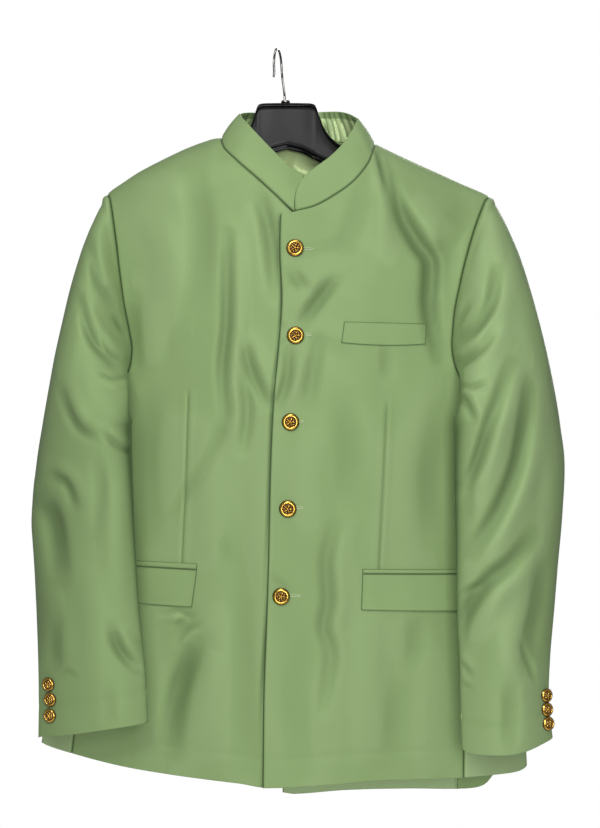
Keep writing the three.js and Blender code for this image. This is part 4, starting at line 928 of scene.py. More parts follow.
def sleeve_grid(side, stop, low_steps):
    """Outer face of a sleeve, armhole first; stop runs from -3 through 0 to 27."""
    at = np.where(stop < 0, stop + LAST_STOP, stop)
    angle, root = read(ARM[side], 1, at), read(ARM[side], 2, at)
    point, normal = on_body(angle, root), body_normal(angle, root)
    point = point + normal * body_lift(point, normal)[:, None]
    turn_round = read(ROUND, 1, at)
    end = sleeve_ring(side, turn_round, np.full(len(at), float(FIRST_RING)))
    chord = unit(end - point)
    under = np.minimum(1, np.abs(np.sin(np.radians(turn_round) / 2)) * 1.6)
    lift = mix(HEAD_CROWN[side], 0.9, under)[:, None]
    away = unit(chord * (1 - lift) + normal * lift)
    reach = np.linalg.norm(end - point, axis=-1)[:, None] * 0.85
    t = steps_with_edges(HEAD_LONG, HEAD_LONG / HEAD_STEPS, last=False)[:, None, None]
    down = unit(sleeve_ring(side, turn_round, np.full(len(at), FIRST_RING - 30.0)) - end)
    head = (point * (2 * t**3 - 3 * t**2 + 1) + away * (t**3 - 2 * t**2 + t) * reach
            + end * (3 * t**2 - 2 * t**3) + down * (t**3 - t**2) * reach)
    far = np.linalg.norm(head - point, axis=-1)
    over_arm = ease(3, 26, far) * hump(head[..., 2], -420, 30)
    over_arm = over_arm * hump(turn_round, 160, 38)[None, :]
    head[..., 0] += OVER_ARM[side] * over_arm
    moved = clear_of_body(head, np.minimum(3.2, 0.3 + far * 0.2))
    head = mix(head, moved, ease(-392, -404, head[..., 2])[..., None])
    low = low_steps[1:, None]
    z = mix(FIRST_RING, read(CUFF[side], 1, turn_round % 360)[None, :], low)
    tube = sleeve_ring(side, turn_round[None, :], z)
    by_flap = ease(-720, -700, z) * ease(-590, -610, z)
    return np.concatenate([head, clear_of_body(tube, 3.2 + 2.3 * by_flap)]), turn_round, normal


def along_stops(side, first, last, spacing):
    """Stops from first to last, evenly spaced over the sleeve, close together at the seams."""
    fine = np.linspace(first, last, 400)
    at = np.where(fine < 0, fine + LAST_STOP, fine)
    line = on_body(read(ARM[side], 1, at), read(ARM[side], 2, at))
    ring = sleeve_ring(side, read(ROUND, 1, at), np.full(400, -600.0))
    step = (np.linalg.norm(np.diff(line, axis=0), axis=1)
            + np.linalg.norm(np.diff(ring, axis=0), axis=1)) / 2
    run = np.concatenate([[0], np.cumsum(step)])
    return np.interp(steps_with_edges(run[-1], spacing) * run[-1], run, fine)


for side in ("left", "right"):
    sign = 1 if side == "left" else -1
    top_stops = along_stops(side, -3, FRONT_STOP, 3.3)
    under_stops = along_stops(side, FRONT_STOP, LAST_STOP - 3, 3.6)
    stops = np.concatenate([top_stops, under_stops[1:]])
    low_steps = steps_with_edges(BELOW_LONG, 3.5, first=False)
    base, turn_round, arm_normal = sleeve_grid(side, stops, low_steps)
    ring_middle = base.mean(1, keepdims=True)
    wrapped = np.concatenate([base[:, -2:-1], base, base[:, 1:2]], 1)
    around = wrapped[:, 2:] - wrapped[:, :-2]
    normal = unit(np.cross(around, np.gradient(base, axis=0)))
    normal = normal * np.sign(np.sum(normal[100:] * (base - ring_middle)[100:]))
    x, z = base[..., 0], base[..., 2]
    armhole_edge, cuff_edge = lengths(base, 0)
    facing = normal[..., 1]
    normal = unit(mix(arm_normal[None, :], normal, ease(0, 3.5, armhole_edge)[..., None]))
    settle = ease(0, 16, armhole_edge) * (0.35 + 0.65 * ease(0, 14, cuff_edge))
    at_fold = np.clip(2.2 * np.abs(np.sin(np.radians(turn_round))), 0, 1)[None, :]
    settle = settle * mix(1, at_fold, ease(-560, -700, z))
    mirrored = [([(sign * a, b) for a, b in line], wide, rise, sign * beside)
                for line, wide, rise, beside in SLEEVE_BACK_CREASES]
    lift = settle * (np.clip(-2 * facing, 0, 1) * crease_lift(SLEEVE_CREASES[side], x, z)
                     + np.clip(2 * facing, 0, 1) * crease_lift(mirrored, x, z)
                     + cockle(x + 1.5 * base[..., 1] + 40, z))
    crown = np.clip(np.cos(np.radians(turn_round)), 0, 1) ** 0.7
    lift += ROPE_HIGH * hump(armhole_edge, 6.5, 4.5) * crown
    lift += seam_ditch(armhole_edge) + rounded_edge(cuff_edge, CLOTH_WALL)
    lift -= 0.3 * hump(cuff_edge, 36, 5)
    half_seam = len(top_stops)
    # Painted shade: where the sleeve turns side-on, along its outer side, in its inner fold and over
    # the whole sleeve.
    inside = ease(0.2, -0.5, np.cos(np.radians(turn_round)))[None, :]
    away = ease(0.62, 0.05, np.abs(facing)) * ease(10, 60, armhole_edge)
    outside = ease(0.35, 0.95, np.cos(np.radians(turn_round)))[None, :] * ease(-250, -420, z)
    painted_sleeve_shade = away * mix(0.2, 0.65, inside)
    painted_sleeve_shade = painted_sleeve_shade + OUTSIDE_PAINTED_SHADE[side] * outside * ease(-760, -700, z)
    inner_fold = hump(turn_round, 181, 13)[None, :]
    painted_sleeve_shade = painted_sleeve_shade + 0.7 * inner_fold * ease(-425, -470, z)
    painted_sleeve_shade = painted_sleeve_shade + SLEEVE_PAINTED_SHADE[side] * ease(0, 30, armhole_edge)
    wall = CLOTH_WALL * mix(1, 0.3 + 0.7 * at_fold, ease(-395, -450, z))
    halves = {"top_sleeve": slice(0, half_seam), "under_sleeve": slice(half_seam - 1, None)}
    for kind, part in halves.items():
        here = base[:, part]
        first_edge, last_edge = lengths(here, 1)
        rise = lift[:, part] + seam_ditch(first_edge, 0.9) + seam_ditch(last_edge, 0.9)
        outer = here + normal[:, part] * rise[..., None]
        name = f"{kind}_{side}"
        inner = outer - wall[:, part, None] * grid_normals(outer, (here - ring_middle))
        shade = painted_crease_shade(lift[:, part]) + seam_shade(first_edge, last_edge, armhole_edge[:, part])
        shade = shade + painted_sleeve_shade[:, part]
        from_cuff = cuff_edge[:-1, 0]
        lined = ((from_cuff > HEM_TURN_UP) & (from_cuff < SLEEVE_LINED_TO)).astype(np.int32)
        shade = np.clip(shade, -1, 1)
        sleeve = sheet_mesh(name, outer, inner, [suiting_look, satin_look], shade, lined)
        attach(sleeve, "root")
        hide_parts(name)
        hung_on = ["front_" + side, "back_" + side]


# Collar: a stiffened standing band, its front ends rounded at the top and meeting over the top
# button, with an inner face of the same cloth. Satin shows inside the back of the neck.
COLLAR_WALL = 2.0
COLLAR_TOP = {  # free top edge above each stop of the neckline, from the front: x, y, z
    "front_left": [(4, -50, -163), (21, -49, -149), (38, -46, -136.5), (54, -39, -120),
                   (66, -28, -102), (72, -16, -90), (74, -8, -85), (74, -2, -83)],
    "front_right": [(3, -50, -161.5), (-17, -48, -140.5), (-35, -44, -122), (-50, -37, -105.5),
                    (-60, -27, -93.5), (-67, -16, -85), (-70, -8, -79.5), (-71, -2, -77.5)],
    "back_left": [(0, 44, -71), (19, 43, -70.5), (37, 39, -70), (54, 31, -71), (65, 20, -75),
                  (70, 12, -79), (73, 4, -82), (74, -2, -83)],
    "back_right": [(0, 44, -71), (-19, 43, -71.5), (-37, 39, -72), (-53, 32, -72), (-63, 21, -73),
                   (-68, 12, -75), (-70.5, 4, -77), (-71, -2, -77.5)],
}
COLLAR_FROM_ROW = 5  # of PANELS
COLLAR_END_ROUND = 8


def neck_part(name, at):
    """Neckline points, normals and collar tops at places 0 (front or back) to 7 (shoulder)."""
    kind = name.split("_")[0]
    angle, root = row_curve(PANELS[name], NECK_CORNER[kind], kind == "back", at + COLLAR_FROM_ROW)
    point, normal = on_body(angle, root), body_normal(angle, root)
    lift = body_lift(point, normal)
    if name == "front_right":
        lift = lift - LAP * ease(-100, -50, point[:, 0])
    point = point + lift[:, None] * normal
    rows = [(i, *top) for i, top in enumerate(COLLAR_TOP[name])]
    top = np.stack([read(rows, 1 + k, at) for k in range(3)], -1)
    return point, normal, top


forward, rearward = np.linspace(0, 7, 71), np.linspace(7, 0, 71)
parts = [neck_part("front_left", forward), neck_part("back_left", rearward),
         neck_part("back_right", forward), neck_part("front_right", rearward)]
loop = [np.concatenate([parts[0][k]] + [part[k][1:] for part in parts[1:]]) for k in range(3)]
run = np.concatenate([[0], np.cumsum(np.linalg.norm(np.diff(loop[0], axis=0), axis=1))])
places = steps_with_edges(run[-1], 2.4) * run[-1]
neck, neck_normal, neck_top = (
    np.stack([np.interp(places, run, line[:, k]) for k in range(3)], -1) for line in loop)


def smoothed(line, times):
    for _ in range(times):
        line = np.concatenate([line[:1], (line[:-2] + 2 * line[1:-1] + line[2:]) / 4, line[-1:]])
    return line


neck_top = smoothed(neck_top, 10)
along = unit(np.gradient(neck, axis=0))
neck_out = unit(smoothed(np.cross(along, neck_top - neck), 6))
neck_mitre = unit(smoothed(unit(neck_normal) + neck_out, 6))
under_end = hump(places, places[-1], 14)[:, None]
neck_top = neck_top + under_end * np.array([5.0, 2.6, 2.4])
neck = neck + under_end * np.array([3.0, 0.0, -1.5])


def collar_grid(depth, wall, rows, low, high):
    height = np.linalg.norm(neck_top - neck, axis=1)
    q = np.clip(1 - places / COLLAR_END_ROUND, 0, 1)
    cut = COLLAR_END_ROUND * (1 - np.sqrt(1 - q**2)) / height
    t = mix(low, high * (1 - cut)[None, :], rows[:, None])[..., None]
    swell = 1.5 * np.sin(np.pi * t) * neck_out
    outer = mix(neck - neck_mitre * depth, neck_top - neck_out * depth, t) + swell
    deep = depth + wall
    inner = mix(neck - neck_mitre * deep, neck_top - neck_out * deep, t) + swell
    bow = 3.2 * np.sin(np.pi * t) * np.exp(-(places / 9))[None, :, None]
    return outer - bow * along[0], inner - bow * along[0]


collar_rows = steps_with_edges(46, 1.9)
outer, inner = collar_grid(0, COLLAR_WALL, collar_rows, 0.0, 1.0)
low_edge, high_edge = lengths(outer, 0)
first_edge, last_edge = lengths(outer, 1)
lift = seam_ditch(low_edge) + rounded_edge(high_edge, COLLAR_WALL)
lift += rounded_edge(first_edge, COLLAR_WALL) + rounded_edge(last_edge, COLLAR_WALL)
lift += 0.25 * np.sin(places / 31)[None, :] * np.sin(np.pi * collar_rows)[:, None]
way = unit(mix(neck_normal[None], neck_out[None], ease(0, 3.5, low_edge)[..., None]))
# Painted shade along the collar's seam and at its two front ends, strongest at the end that laps
# over.
shade = seam_shade(low_edge) + seam_shade(first_edge, wide=2.0) + 0.5 * seam_shade(last_edge)
shade = np.clip(shade, 0, 1)
collar = sheet_mesh("collar", outer + lift[..., None] * way, inner, [suiting_look], shade)
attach(collar, "root")
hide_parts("collar")

lining_rows = steps_with_edges(40, 1.6)
outer, inner = collar_grid(COLLAR_WALL + 0.4, 1.1, lining_rows, 0.08, 0.97)
behind_neck = ease(-6, 12, neck[:, 1])[None, :, None]
pucker = np.sin(places / 1.55 + 1.4 * np.sin(places / 7.3)) + 0.5 * np.sin(places / 0.93 + 2)
shape = np.sin(np.pi * np.clip(lining_rows * 1.25, 0, 1))[:, None, None]
inner = inner - neck_out * ((1.2 + pucker)[None, :, None] * behind_neck * shape)
facing_band = (lining_rows[:-1] < 0.78).astype(np.int32)
# Painted shade in the folds of the gathered satin.
painted_fold_shade = np.clip(0.42 + 0.40 * np.sin(places / 1.55 + 1.4 * np.sin(places / 7.3) + 2.6)
                   + 0.16 * np.sin(places / 4.1 + 1), 0, 0.9)[None, :] + 0 * lining_rows[:, None]
lining = sheet_mesh(
    "collar_lining", outer, inner, [suiting_look, satin_look], band=facing_band, inner_shade=painted_fold_shade)
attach(lining, "root")
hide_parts("collar_lining")

NECK_LINING_HALF_ANGLE = 19
NECK_LINING_TOP, NECK_LINING_LOW = -118, -235
u = steps_with_edges(180, 1.7)
v = steps_with_edges(118, 2.2)
angle = np.pi + np.radians(mix(NECK_LINING_HALF_ANGLE, -NECK_LINING_HALF_ANGLE, u))[None, :]
z = mix(NECK_LINING_TOP, NECK_LINING_LOW, v)[:, None]
angle, z = angle + 0 * z, z + 0 * angle
x = across_body(angle, z)
root = root_at(x, z)
base, normal = on_body(angle, root), body_normal(angle, root)
side_way = x / 5.5 + 1.2 * np.sin(z / 31)
gather = 1.1 * (1 + np.sin(side_way + 0.9 * np.sin(x / 17))) + 0.5 * np.sin(side_way * 1.9 + 1)
gather = gather * ease(-245, -118, z)
drape = 2.4 * hump(x + 0.9 * z, -175, 13) + 1.8 * hump(x - 0.5 * z, 96, 10)
sink = 2.6 + gather + 2.6 * ease(-215, -150, z) + drape * ease(-225, -190, z)
sink = sink + 13 * hump(z + 0.25 * x, -143, 24) * hump(x, 3, 38)
outer = base - normal * sink[..., None]
inner = outer - 0.9 * normal
# Painted shade toward the sides of the neck lining.
deep = np.clip(0.18 * ease(20, 48, np.abs(x - 2)), 0, 0.8)
# A lighter copy of the satin: painted light for this lining, which lies deep in shade.
neck_satin_painted_lighter = satin("sage_neck_satin", 1.18)
neck_lining = sheet_mesh("neck_lining", outer, inner, [neck_satin_painted_lighter], inner_shade=deep)
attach(neck_lining, "root")
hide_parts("neck_lining")


# Pockets: a chest welt, and two flaps that come out of the body from under narrow jets, all
# of the suiting on the straight grain. They lie on the front and follow its creases.
POCKETS = {  # x at the inner end (top, low), outer end, z at the top (inner, outer), low; bow
    "chest_welt": ([56, 52.4], [155.6, 153.6], [-335.3, -337.2], [-360.6, -361.9], 2.4),
    "jet_left": ([78, 78], [214, 214], [-631.3, -633.4], [-636.8, -638.8], 0),
    "flap_left": ([78, 76.4], [214, 216], [-637.4, -639.4], [-680.5, -683.5], 0.8),
    "jet_right": ([-120, -120.5], [-252, -252], [-625, -620], [-632.2, -626], 0),
    "flap_right": ([-120.5, -126.5], [-252, -250], [-632.8, -626.6], [-677.2, -668], 1.6),
}
POCKET_WALL = {"chest": 1.7, "jet": 1.3, "flap": 1.8}
POCKET_DEEP = {"chest": 24, "flap": 42}
ON_CLOTH = 0.45


def front_surface(x, z):
    angle, root = angle_of(x, z), root_at(x, z)
    base, normal = on_body(angle, root), body_normal(angle, root)
    return base + normal * body_lift(base, normal)[..., None], normal


for name, (near, far, top, low, bow) in POCKETS.items():
    kind = name.split("_")[0]
    wall = POCKET_WALL[kind]
    u = steps_with_edges(135, 3.0)[None, :]
    v = np.linspace(0, 1, 13) if kind == "jet" else steps_with_edges(POCKET_DEEP[kind], 2.6)
    v = v[:, None]
    x = mix(mix(near[0], near[1], v), mix(far[0], far[1], v), u)
    z = mix(mix(top[0], top[1], u), mix(low[0], low[1], u), v) - bow * 4 * u * (1 - u) * v
    base, normal = front_surface(x, z)
    near_edge, far_edge = lengths(base, 1)
    top_edge, low_edge = lengths(base, 0)
    lift = sum(rounded_edge(edge, wall) for edge in (near_edge, far_edge, top_edge, low_edge))
    lift = lift - 0.25 * hump(np.minimum(near_edge, low_edge), 5.5, 1.6)
    stand = ON_CLOTH + 0 * v
    if kind == "jet":
        lift = lift + 0.7 * np.sqrt(np.clip(1 - (2 * v - 1) ** 2, 0, 1))
    if kind == "flap":
        stand = ON_CLOTH + 0.9 * v + 0.5 * np.sin(x / 23) * v * v
        lift = lift + 0.5 * np.sin(x / 31 + 1) * np.sin(np.pi * v)
    outer = base + normal * (stand + wall + lift)[..., None]
    inner = base + normal * stand[..., None]
    edges = (near_edge, far_edge, low_edge, top_edge)
    # Painted shade along the edges of the welt, jets and flaps.
    shade = np.clip(seam_shade(*edges, wide=0.8), 0, 1) * (0.7 if kind == "jet" else 0.85)
    pocket = sheet_mesh(name, outer, inner, [suiting_look], shade)
    on_front = "front_left" if near[0] > 0 else "front_right"
    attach(pocket, "root")
    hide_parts(name)
    length = abs(far[0] - near[0]) / 1000 + 0.008
    height = abs(low[0] - top[0]) / 1000 + 0.004
    seen = 0.7 * length * 0.010 if kind == "jet" else None


# Front buttons: five gold shank buttons, cast with a raised rim, a darkened ring and a plain
# rosette. Pale buttonhole twist shows beside each one on the wearer's left.
FRONT_BUTTONS = [(-2.7, -247.3), (-2.1, -351.8), (-8.1, -455.1), (-11.3, -559), (-19.3, -664.1)]
FRONT_RADIUS = 10.5
FRONT_CLEAR = 0.3


def button_mesh(name, at, out, gap, radius, spokes, look):
    """Closed cast button that faces out from a point of the cloth, with a gap behind it."""
    across = np.array([0.04, 0.12, 0.2, 0.28, 0.36, 0.44, 0.5, 0.56, 0.6, 0.64, 0.68, 0.73, 0.78,
                       0.82, 0.86, 0.9, 0.94, 0.98, 1.0, 0.985, 0.93, 0.8, 0.5, 0.26, 0.25])
    front = np.arange(len(across)) < 19
    a = np.arange(spokes) * 2 * np.pi / spokes
    r = across[:, None] + 0 * a
    dome = 0.60 * np.sqrt(np.clip(1.06 - r**2, 0, 1))
    petals = 0.10 * np.cos(5 * a) * hump(r, 0.28, 0.13)
    knob = 0.08 * hump(r, 0, 0.09)
    leaves = 0.08 * hump(r, 0.45, 0.06) * np.cos(10 * a + 0.6)
    ring = -0.09 * hump(r, 0.58, 0.045)
    rim = 0.08 * hump(r, 0.76, 0.13)
    height = np.where(front[:, None], 0.62 * dome + petals + knob + leaves + ring + rim + 0.08, 0)
    back_height = {19: 0.13, 20: 0.08, 21: 0.06, 22: 0.05, 23: 0.04, 24: -0.02}
    for row, level in back_height.items():
        height[row] = level
    relief = (petals + leaves + knob + ring) * (r < 0.64)
    # Patina in the hollows of the relief, and painted shade at the outer edge of the rim.
    deep = np.clip(0.42 - 9 * relief, 0, 1) * (r < 0.62) + ease(0.84, 0.97, r)
    deep = np.clip(deep, 0, 1)
    rings, n = len(across), spokes
    k, i = np.meshgrid(np.arange(rings - 1), np.arange(n), indexing="ij")
    faces = [k * n + i, (k + 1) * n + i, (k + 1) * n + (i + 1) % n, k * n + (i + 1) % n]
    faces = np.stack(faces, -1).reshape(-1, 4).tolist()
    last = (rings - 1) * n
    for j in range(n):
        faces.append([j, (j + 1) % n, rings * n])
        faces.append([last + (j + 1) % n, last + j, rings * n + 1])
    right = unit(np.cross([0, 0, 1.0], out))
    up = np.cross(out, right)
    local = np.stack([(r * np.cos(a)).ravel(), (r * np.sin(a)).ravel(), height.ravel()], -1)
    ends = np.array([[0, 0, height[0].mean()], [0, 0, -0.02]])
    local = np.concatenate([local, ends]) * radius
    points = at + local[:, :1] * right + local[:, 1:2] * up + (local[:, 2:] + gap) * out
    piece = new_piece(name, name + "_cast", points, faces, [look])
    layer = piece.data.attributes.new("tarnish_and_rim_shade", "FLOAT", "POINT")
    layer.data.foreach_set("value", np.concatenate([deep.ravel(), [0.2, 0.5]]))
    return piece


def antique_gold():
    look = Look("antique_gold", Coat_Weight=0.3, Coat_Roughness=0.12)
    deep = look.node("Attribute", {"attribute_name": "tarnish_and_rim_shade"}, output=2)
    place = look.node("TexCoord", output=3)
    worn = look.noise(place, 900.0, 3.0)
    # Patina in the hollows and painted shade at the rim's edge, with wear.
    patina_and_rim_shade = (deep * 1.3 + worn * 0.4 - 0.24).math("MAXIMUM", 0.0).math("MINIMUM", 1.0)
    return look.finish({
        "Base Color": look.blend(patina_and_rim_shade, (0.92, 0.55, 0.09, 1), (0.05, 0.008, 0.001, 1)),
        "Metallic": 1.0 - patina_and_rim_shade * 0.5,
        "Roughness": patina_and_rim_shade * 0.25 + worn * 0.08 + 0.1,
        "Normal": look.bump(worn, 0.25, 0.0002),
    })


gold_look = antique_gold()
for number, (x, z) in enumerate(FRONT_BUTTONS, 1):
    point, out = front_surface(np.array([x]), np.array([z]))
    button = button_mesh(
        f"front_button_{number}", point[0], out[0], FRONT_CLEAR, FRONT_RADIUS, 60, gold_look)
    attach(button, "root")
    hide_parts(f"front_button_{number}")


# Cuff buttons: three on the outer side of each cuff, smaller, of the same casting. They are
# sewn on by their shanks, a little clear of the sleeve.
CUFF_BUTTONS = {  # angle round the sleeve, z
    "left": [(28, -781.3), (28, -798), (28, -814.7)],
    "right": [(43, -767.5), (45, -785.3), (44, -804.2)],
}
CUFF_RADIUS = 8.4
SHANK_CLEAR = 1.8
TIPPED_FORWARD = 0.7  # they tip on their shanks and face the front

for side, spots in CUFF_BUTTONS.items():
    sign = 1 if side == "left" else -1
    for number, (turn_round, z) in enumerate(spots, 1):
        ring = sleeve_ring(side, np.array([turn_round, turn_round + 1.0, turn_round]),
                           np.array([z, z, z - 1.0]))
        out = unit(np.cross(ring[1] - ring[0], ring[2] - ring[0])) * sign
        out = unit(out + np.array([0, -TIPPED_FORWARD, 0]))
        name = f"cuff_button_{side}_{number}"
        button = button_mesh(name, ring[0], out, SHANK_CLEAR, CUFF_RADIUS, 44, gold_look)
        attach(button, "root")
        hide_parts(name)


# Buttonholes: keyhole slits worked over with pale twist, one bar of stitches to each side of
# the slit. The stitches follow a curve round the slit.
BUTTONHOLES = [  # x from and to, z
    (-9, 19.3, -248.2), (-8.5, 16.3, -351.4), (-14.5, 8, -454.5), (-17.5, 6.8, -557.7),
    (-25.5, 3.8, -663.2),
]
STITCH_SPACING = 0.00062
STITCH_HALF = 0.001
TWIST_RADIUS = 0.00042


def stitches_along(name, paths, look, spacing, length, radius):
    """Short stitches set across closed or open paths of points (metres), as one plain mesh."""
    tree = bpy.data.node_groups.new(name + "_stitches", "GeometryNodeTree")
    face = tree.interface
    face.new_socket("Geometry", in_out="INPUT", socket_type="NodeSocketGeometry")
    inputs = {}
    for label, value in (("Spacing", spacing), ("Length", length), ("Radius", radius)):
        socket = face.new_socket(label, in_out="INPUT", socket_type="NodeSocketFloat")
        inputs[label] = (socket.identifier, value)
    face.new_socket("Geometry", in_out="OUTPUT", socket_type="NodeSocketGeometry")

    def add(kind, settings=None, **links):
        node = tree.nodes.new(kind)
        for key, value in (settings or {}).items():
            setattr(node, key, value)
        for key, value in links.items():
            socket = node.inputs[key.replace("_", " ")]
            if hasattr(value, "is_output"):
                tree.links.new(value, socket)
            else:
                socket.default_value = value
        return node

    start = add("NodeGroupInput")
    curve = add("GeometryNodeMeshToCurve", Mesh=start.outputs["Geometry"])
    points = add("GeometryNodeCurveToPoints", {"mode": "LENGTH"}, Curve=curve.outputs["Curve"],
                 Length=start.outputs["Spacing"])
    thread = add("GeometryNodeMeshIcoSphere", Radius=1.0, Subdivisions=1)
    stretch = add("ShaderNodeCombineXYZ", X=start.outputs["Length"], Y=start.outputs["Radius"],
                  Z=start.outputs["Radius"])
    shaped = add("GeometryNodeTransform", Geometry=thread.outputs["Mesh"], Scale=stretch.outputs[0])
    uneven = add("FunctionNodeRandomValue", {"data_type": "FLOAT"}, Seed=7)
    uneven.inputs[2].default_value, uneven.inputs[3].default_value = 0.82, 1.12
    placed = add("GeometryNodeInstanceOnPoints", Points=points.outputs["Points"],
                 Instance=shaped.outputs["Geometry"], Rotation=points.outputs["Rotation"],
                 Scale=uneven.outputs[1])
    real = add("GeometryNodeRealizeInstances", Geometry=placed.outputs["Instances"])
    coloured = add("GeometryNodeSetMaterial", Geometry=real.outputs["Geometry"], Material=look)
    end = add("NodeGroupOutput")
    tree.links.new(coloured.outputs["Geometry"], end.inputs[0])

    points_list, edges = [], []
    for path in paths:
        first = len(points_list)
        points_list += [tuple(p) for p in path]
        edges += [(first + i, first + i + 1) for i in range(len(path) - 1)]
    guide_mesh = bpy.data.meshes.new(name + "_guide")
    guide_mesh.from_pydata(points_list, edges, [])
    guide = bpy.data.objects.new(name + "_guide", guide_mesh)
    scene.collection.objects.link(guide)
    modifier = guide.modifiers.new("stitches", "NODES")
    modifier.node_group = tree
    for identifier, value in inputs.values():
        modifier[identifier] = value
    graph = bpy.context.evaluated_depsgraph_get()
    mesh = bpy.data.meshes.new_from_object(guide.evaluated_get(graph))
    mesh.name = name
    bpy.data.objects.remove(guide)
    if not mesh.materials:
        mesh.materials.append(look)
    mesh.polygons.foreach_set("use_smooth", np.ones(len(mesh.polygons), bool))
    piece = bpy.data.objects.new(name, mesh)
    scene.collection.objects.link(piece)
    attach(piece, "root")
    return piece


def thread_look(name, colour):
    look = Look(name, Sheen_Weight=0.3)
    place = look.node("TexCoord", output=3)
    fuzz = look.noise(place, 2500.0)
    darker = [c * 0.82 for c in colour]
    return look.finish({
        "Base Color": look.blend(fuzz, (*darker, 1), (*colour, 1)), "Roughness": 0.6,
        "Normal": look.bump(fuzz, 0.3, 0.0002),
    })


pale_twist = thread_look("pale_buttonhole_twist", (0.86, 0.95, 0.66))
hole_paths = []
for start_x, end_x, z in BUTTONHOLES:
    a = np.linspace(0, 2 * np.pi, 61)
    length, high = (end_x - start_x) / 2, 1.15
    x = (start_x + end_x) / 2 + length * np.sign(np.cos(a)) * np.abs(np.cos(a)) ** 0.35
    zz = z + high * np.sin(a)
    point, out = front_surface(x, zz)
    hole_paths.append((point + out * 0.5 - [HOOK_FROM_CENTRE, 0, 0]) / 1000)
stitches_along("buttonhole_stitches", hole_paths, pale_twist, STITCH_SPACING, STITCH_HALF,
               TWIST_RADIUS)


# Hanger: one moulding of glossy black plastic with a rim along its upper and lower edges. Its
# broad arms fill the shoulders; the neck between them shows above the collar.
HANGER_X = -13
HANGER_CLEAR = 3.3
HANGER_AIR = 1.6
HANGER = [  # distance from the middle, top, low, half thickness
    (0, -64.6, -122.5, 6), (20, -64.8, -128, 6), (31, -65.5, -134, 6.5), (35.5, -68.2, -136, 6.5),
    (39, -77.5, -138, 7), (45, -94, -140.5, 7.5), (54, -107, -144, 8), (66, -116.5, -149, 9),
    (84, -124, -155.5, 11), (115, -128, -165, 14), (150, -145, -178, 17), (180, -158, -188, 19),
    (198, -166, -195, 18), (206, -176, -193, 12),
]
TOP_RIM_HIGH, RIM_HIGH, RIM_PROUD = 3.6, 7.0, 2.4


def room_inside(x, z, front):
    """Half thickness for which there is room between the faces of the cloth."""
    s = share_across(x, z)
    drop = np.clip((shoulder(x) - z) / SHOULDER_ROUND, 0, 1)
    depth = read(BODY, 3 if front else 4, z) * (1 - s * s) ** (SIDE_SHARPNESS / 2)
    room = depth * np.sqrt(1 - (1 - drop) ** 2) - 2.0 - HANGER_AIR
    return np.where(np.abs(x) < 100, 1e3, np.maximum(0.5, room))


off = np.concatenate([np.linspace(-206, -60, 60), np.linspace(-58, -28, 40),
                      np.linspace(-26, 26, 20), np.linspace(28, 58, 40), np.linspace(60, 206, 60)])
x = HANGER_X + off
top = read(HANGER, 1, np.abs(off))
limit = np.where(np.abs(x) > 88, shoulder(x) - HANGER_CLEAR, 0)
top, low, half = np.minimum(top, limit), read(HANGER, 2, np.abs(off)), read(HANGER, 3, np.abs(off))
crown = np.minimum(3.2, (top - low) * 0.3)
rim_top = half + RIM_PROUD
face_top, face_low = top - crown - TOP_RIM_HIGH, low + RIM_HIGH + 1.6
profile = []  # half of the section from the top down: half thickness, z
for a in np.arange(7) / 6 * np.pi / 2:
    profile.append((rim_top * np.sin(a), top - crown * (1 - np.cos(a))))
profile += [(rim_top, face_top + 1.5), (half + 0.5 * RIM_PROUD, face_top + 0.8), (half, face_top)]
for k in np.linspace(0.08, 0.92, 7):
    profile.append((half - 0.9 * np.sin(np.pi * k), mix(face_top, face_low, k)))
profile += [(half, face_low), (half + 0.5 * RIM_PROUD, low + RIM_HIGH + 0.6),
            (rim_top, low + RIM_HIGH - 0.2), (rim_top, low + 1.2), (rim_top - 0.5, low + 0.3),
            (rim_top - 1.6, low), (0 * half, low)]
rings = []
for y, z in profile:
    rings.append(np.stack([x, -np.minimum(y, room_inside(x, z, True)), z], -1))
for y, z in profile[-2:0:-1]:
    rings.append(np.stack([x, np.minimum(y, room_inside(x, z, False)), z], -1))
rings = np.stack(rings, 1)
face_strips = range(8, 18)
on_rim = [0 if k in face_strips else 1 for k in range(len(profile) - 1)]
rim_strips = np.array(on_rim + on_rim[::-1])


def tube_mesh(name, rings, looks, rim=None):
    """Closed body through rings of points in garment millimetres, capped at both ends. rim
    is 1 on the strips along it that have the second look."""
    count, n = rings.shape[:2]
    points = np.concatenate([rings.reshape(-1, 3), rings[:1].mean(1), rings[-1:].mean(1)])
    k, i = np.meshgrid(np.arange(count - 1), np.arange(n), indexing="ij")
    faces = [k * n + i, k * n + (i + 1) % n, (k + 1) * n + (i + 1) % n, (k + 1) * n + i]
    faces = np.stack(faces, -1)
    faces = faces.reshape(-1, 4).tolist()
    last = (count - 1) * n
    faces += [[count * n, (j + 1) % n, j] for j in range(n)]
    faces += [[count * n + 1, last + j, last + (j + 1) % n] for j in range(n)]
    volume = sum(np.dot(points[f[0]], np.cross(points[f[1]], points[f[2]])) for f in faces)
    if volume < 0:
        faces = [f[::-1] for f in faces]
    piece = new_piece(name, name + "_shape", points, faces, looks)
    if rim is not None:
        kind = np.concatenate([np.tile(rim, count - 1), np.ones(2 * n)]).astype(np.int32)
        piece.data.polygons.foreach_set("material_index", kind)
    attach(piece, "root")
    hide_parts(name)
    return piece


def black_plastic(name, dark, light, gloss, roughness):
    look = Look(name, Specular_IOR_Level=gloss)
    place = look.node("TexCoord", output=3)
    smear = look.noise(place, 35.0, 3.0)
    grain = look.noise(place, 1200.0)
    return look.finish({
        "Base Color": look.blend(smear, (dark, dark, dark, 1), (light, light, light, 1)),
        "Roughness": smear * 0.16 + roughness,
        "Normal": look.bump(grain, 0.08, 0.0002),
    })


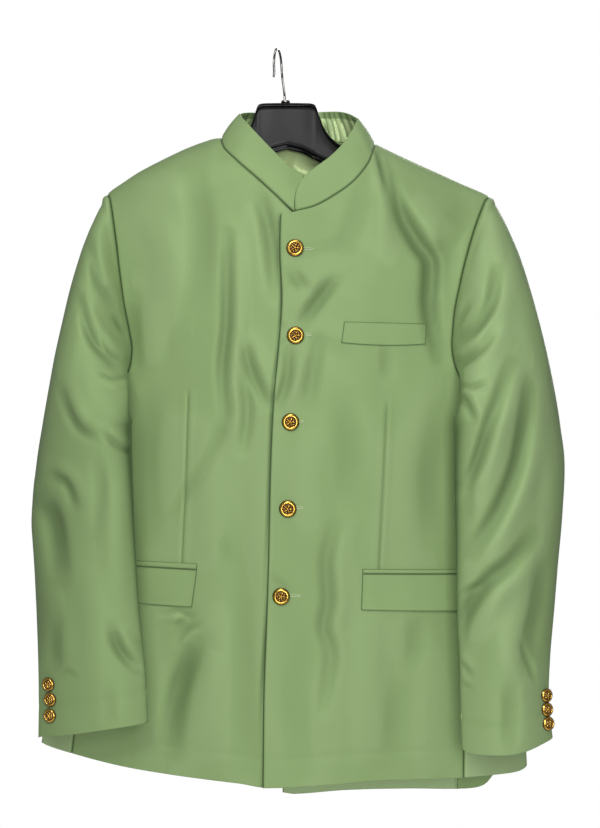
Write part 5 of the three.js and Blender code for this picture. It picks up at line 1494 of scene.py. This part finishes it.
face_look = black_plastic("black_plastic", 0.010, 0.026, 0.25, 0.26)
rim_look = black_plastic("black_plastic_rim", 0.0008, 0.002, 0.16, 0.06)
hanger = tube_mesh("hanger", rings, [face_look, rim_look], rim_strips)


# Hook: chromed steel wire, 3 mm thick, screwed into the hanger through a small turned cap. In
# use it swivels in the cap; here it is fixed.
WIRE = 1.5
HOOK = [  # from the foot in the cap, over the rod to the tip
    (-15.4, 0, -61.6), (-15.8, 2, -54), (-17.2, 11, -41), (-18.6, 18.5, -30), (-19.4, 20.5, -19.5),
    (-20.2, 17.7, -9), (-21.8, 10.2, -1.2), (-24, 0, 1.5), (-26, -10.2, -1.2), (-27.6, -17.7, -9),
    (-28.4, -20.5, -19.5), (-28.2, -20, -30), (-28.8, -19.4, -36.4),
]
CAP_X, CAP_RADIUS = -14.4, 5.6
CAP = [(-64.5, 1.0), (-63.6, 1.0), (-62.6, 1.0), (-61.9, 0.93), (-61.6, 0.8), (-61.4, 0.6),
       (-61.3, 0.4)]  # height, share of the radius


def chrome():
    look = Look("chrome", Metallic=1.0)
    place = look.node("TexCoord", output=3)
    haze = look.noise(place, 160.0, 3.0)
    # The dark grey base colour is a painted reflection of dark surroundings.
    return look.finish({
        "Base Color": look.blend(haze, (0.25, 0.23, 0.22, 1), (0.42, 0.40, 0.38, 1)),
        "Roughness": haze * 0.14 + 0.08,
        "Normal": look.bump(haze, 0.05, 0.0002),
    })


chrome_look = chrome()
path = smooth_path(HOOK, 12)
way = unit(np.gradient(path, axis=0))
sides = np.arange(16) * np.pi / 8
across = np.array([1.0, 0, 0])
rings = []
for place, tangent, share in zip(path, way, np.clip(np.arange(len(path))[::-1] / 2 + 0.4, 0, 1)):
    across = unit(across - tangent * (across @ tangent))
    other = np.cross(tangent, across)
    round_wire = np.cos(sides)[:, None] * across + np.sin(sides)[:, None] * other
    rings.append(place + WIRE * share * round_wire)
hook = tube_mesh("hook", np.array(rings), [chrome_look])

sides = np.arange(40) * np.pi / 20
rings = [np.stack([CAP_X + CAP_RADIUS * share * np.cos(sides), CAP_RADIUS * share * np.sin(sides),
                   z + 0 * sides], -1) for z, share in CAP]
cap = tube_mesh("hook_cap", np.array(rings), [chrome_look])
